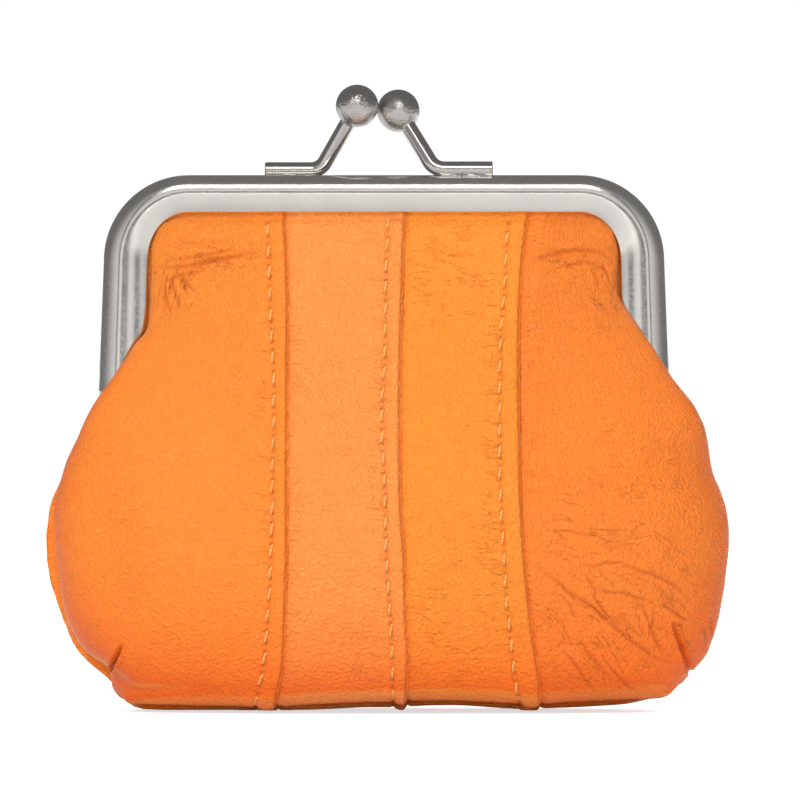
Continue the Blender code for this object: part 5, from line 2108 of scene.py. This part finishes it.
@dataclass
class Purse:
    """The whole purse."""

    skins: dict[Half, LeatherSkin] = field(default_factory=dict)

    def sew_leather(self) -> None:
        """Make the leather strips and the stitches over their seams."""
        thread = THREAD.material()
        for half in Half:
            skin = self.skins.setdefault(half, LeatherSkin(half))
            for strip in Strip:
                marks = CREASES.get(strip, ())
                if half is Half.REAR:
                    marks = mirrored(CREASES.get(Strip(3 - strip.value), ()))
                piece = LeatherStrip(half, strip, skin, marks).build()
                if strip.value < len(SEAMS):
                    StitchLine(half, SEAMS[strip.value], strip, piece).build(thread)

    def line(self) -> None:
        """Put in the lining."""
        cloth = ClothFinish().material()
        for half in Half:
            LiningSheet(half, self.skins[half]).build(cloth)

    def bend_frame(self) -> None:
        """Make the frame, the clasp and the hinge rivets, and dress the cords."""
        nickel = NickelFinish().material()
        polished = NickelFinish("gunmetal_rod", (0.66, 0.63, 0.60), 0.16).material()
        mottled = NickelFinish("gunmetal_ball", (0.66, 0.63, 0.60), 0.16, 0.75).material()
        paper = PAPER.material()
        for half in Half:
            ChannelFrame(half).build(nickel)
            KissClasp(half).build(polished, mottled)
            cord = bpy.data.objects[f"{half.word}_binding_cord"]
            for place in cord.material_slots:
                place.material = paper
        for side in (-1.0, 1.0):
            HingeRivet(side).build(nickel)


@dataclass
class Studio:
    """A white sweep under soft lights, with the camera square to the purse's front."""

    aim: tuple[float, float] = (2.25 * MM, 43.9 * MM)
    distance: float = 1.2556
    lens: float = 400.0
    bright_below: float = math.radians(25.0)

    def camera(self) -> None:
        """Stand the camera straight in front."""
        lens = bpy.data.cameras.new("photo_camera")
        lens.lens = self.lens
        lens.sensor_width = 36.0
        lens.clip_start = 0.05
        lens.dof.use_dof = False
        stand = bpy.data.objects.new("photo_camera", lens)
        stand.location = (self.aim[0], -self.distance, self.aim[1])
        stand.rotation_euler = (0.5 * math.pi, 0.0, 0.0)
        bpy.context.collection.objects.link(stand)
        bpy.context.scene.camera = stand

    @staticmethod
    def lamp(name: str, place: Triple, size: tuple[float, float], power: float) -> None:
        """Hang a soft box that faces the purse.

        Args:
            name: Name of the lamp.
            place: Where it hangs, in metres.
            size: Its width and height, in metres.
            power: Its power in watts.
        """
        light = bpy.data.lights.new(name, "AREA")
        light.shape = "RECTANGLE"
        light.size, light.size_y = size
        light.energy = power
        stand = bpy.data.objects.new(name, light)
        stand.visible_glossy = False
        stand.location = place
        aim = Vector((0.0, 0.0, 0.045)) - Vector(place)
        stand.rotation_euler = aim.to_track_quat("-Z", "Y").to_euler()
        bpy.context.collection.objects.link(stand)

    @staticmethod
    def card(name: str, low: Triple, high: Triple, tone: float) -> None:
        """Set up a card that shows only in reflections.

        Args:
            name: Name of the card.
            low: One of its lower corners.
            high: The upper corner on the other side.
            tone: Its brightness.
        """
        deselect_all()
        bpy.ops.mesh.primitive_plane_add(size=1.0)
        card = bpy.context.object
        card.name = name
        set_points(card, np.array([low, (high[0], *low[1:]), (low[0], *high[1:]), high]))
        desk = NodeDesk(name)
        desk.show(desk.glow(tone))
        card.data.materials.append(desk.finish)
        card.visible_camera = False
        card.visible_diffuse = False
        card.visible_shadow = False

    @staticmethod
    def floor() -> None:
        """Lay the white floor, which keeps only the purse's soft shadow."""
        deselect_all()
        bpy.ops.mesh.primitive_plane_add(size=8.0, location=(0.0, 0.0, 0.0))
        floor = bpy.context.object
        floor.name = "studio_floor"
        desk = NodeDesk("studio_floor")
        desk.fix(desk.shader, Base_Color=(0.82, 0.82, 0.82, 1.0), Roughness=1.0, Specular_IOR_Level=0.0)
        seen = desk.add("ShaderNodeLightPath").outputs["Is Camera Ray"]
        both = desk.add("ShaderNodeAddShader")
        desk.join(desk.shader.outputs[0], both.inputs[0])
        desk.join(desk.glow(desk.sum_of("MULTIPLY", seen, 0.66)), both.inputs[1])
        desk.show(both.outputs[0])
        floor.data.materials.append(desk.finish)

    def surround(self, level: float = 0.42, dark: float = 0.17) -> None:
        """A surround that is white to the camera, and for reflections white in front and dark at the sides and above.

        Args:
            level: Its strength as light on the purse.
            dark: Its strength in reflections from the sides, from above and from behind.
        """
        world = bpy.data.worlds.new("studio")
        bpy.context.scene.world = world
        desk = NodeDesk("studio", world)
        value = desk.sum_of
        desk.fix(desk.shader, Color=(1.0, 1.0, 1.0, 1.0))
        rays = desk.add("ShaderNodeLightPath").outputs
        way = desk.add("ShaderNodeSeparateXYZ")
        desk.join(desk.add("ShaderNodeTexCoord").outputs["Generated"], way.inputs[0])
        ahead = value("MULTIPLY", way.outputs["Y"], -math.cos(self.bright_below))
        below = value("MULTIPLY", way.outputs["Z"], -math.sin(self.bright_below))
        facing = desk.span(value("ADD", ahead, below), 0.087, 0.966, way="LINEAR")
        bright = value("MULTIPLY", value("POWER", facing, 2.1), 1.0 - dark)
        mirror = value("MULTIPLY", value("ADD", bright, dark), rays["Is Glossy Ray"])
        seen = value("MAXIMUM", rays["Is Camera Ray"], rays["Is Transmission Ray"])
        rough = value("SUBTRACT", value("MULTIPLY", rays["Is Glossy Ray"], -1.0), -1.0)
        light = value("MAXIMUM", value("MAXIMUM", seen, mirror), value("MULTIPLY", rough, level))
        desk.join(light, desk.shader.inputs["Strength"])

    def build(self) -> None:
        """Set up camera, floor, surround, lamps and cards."""
        bpy.context.scene.view_settings.view_transform = "Standard"
        self.camera()
        self.floor()
        self.surround()
        self.lamp("key_box", (-0.45, -0.95, 1.05), (0.8, 0.8), 10.15)
        self.lamp("front_box", (0.10, -1.45, 0.12), (0.6, 0.5), 2.7)
        self.lamp("low_box", (0.05, -1.20, 0.03), (0.8, 0.05), 3.3)
        self.lamp("back_box", (0.40, 1.30, 0.55), (0.8, 0.8), 17.0)
        self.card("studio_window", (-0.26, -1.10, 0.62), (0.20, -0.92, 0.86), 5.0)
        self.card("studio_camera_card", (-0.20, -1.45, 0.02), (0.24, -1.45, 0.20), 0.12)
        for word, side in (("left", -1.0), ("right", 1.0)):
            self.card(f"studio_{word}_strip", (side * 0.42, -1.3, -0.4), (side * 0.56, -1.3, 0.9), 0.08)


def write_sizes() -> None:
    """Work out the box round the shown pieces of the dressed purse.
    """
    low, high = np.full(3, np.inf), np.full(3, -np.inf)
    for piece in bpy.context.scene.objects:
        if piece.type != "MESH" or piece.name.startswith("studio_") or piece.hide_render:
            continue
        points = get_points(piece)
        low, high = np.minimum(low, points.min(axis=0)), np.maximum(high, points.max(axis=0))


def main() -> None:
    """Build the purse and its studio."""
    logging.basicConfig(level=logging.INFO, format="%(name)s: %(message)s")
    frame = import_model()
    LOG.info("loaded %d entries", len(frame))
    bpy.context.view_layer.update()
    purse = Purse()
    purse.sew_leather()
    purse.line()
    purse.bend_frame()
    Studio().build()
    write_sizes()


if __name__ == "__main__":
    main()
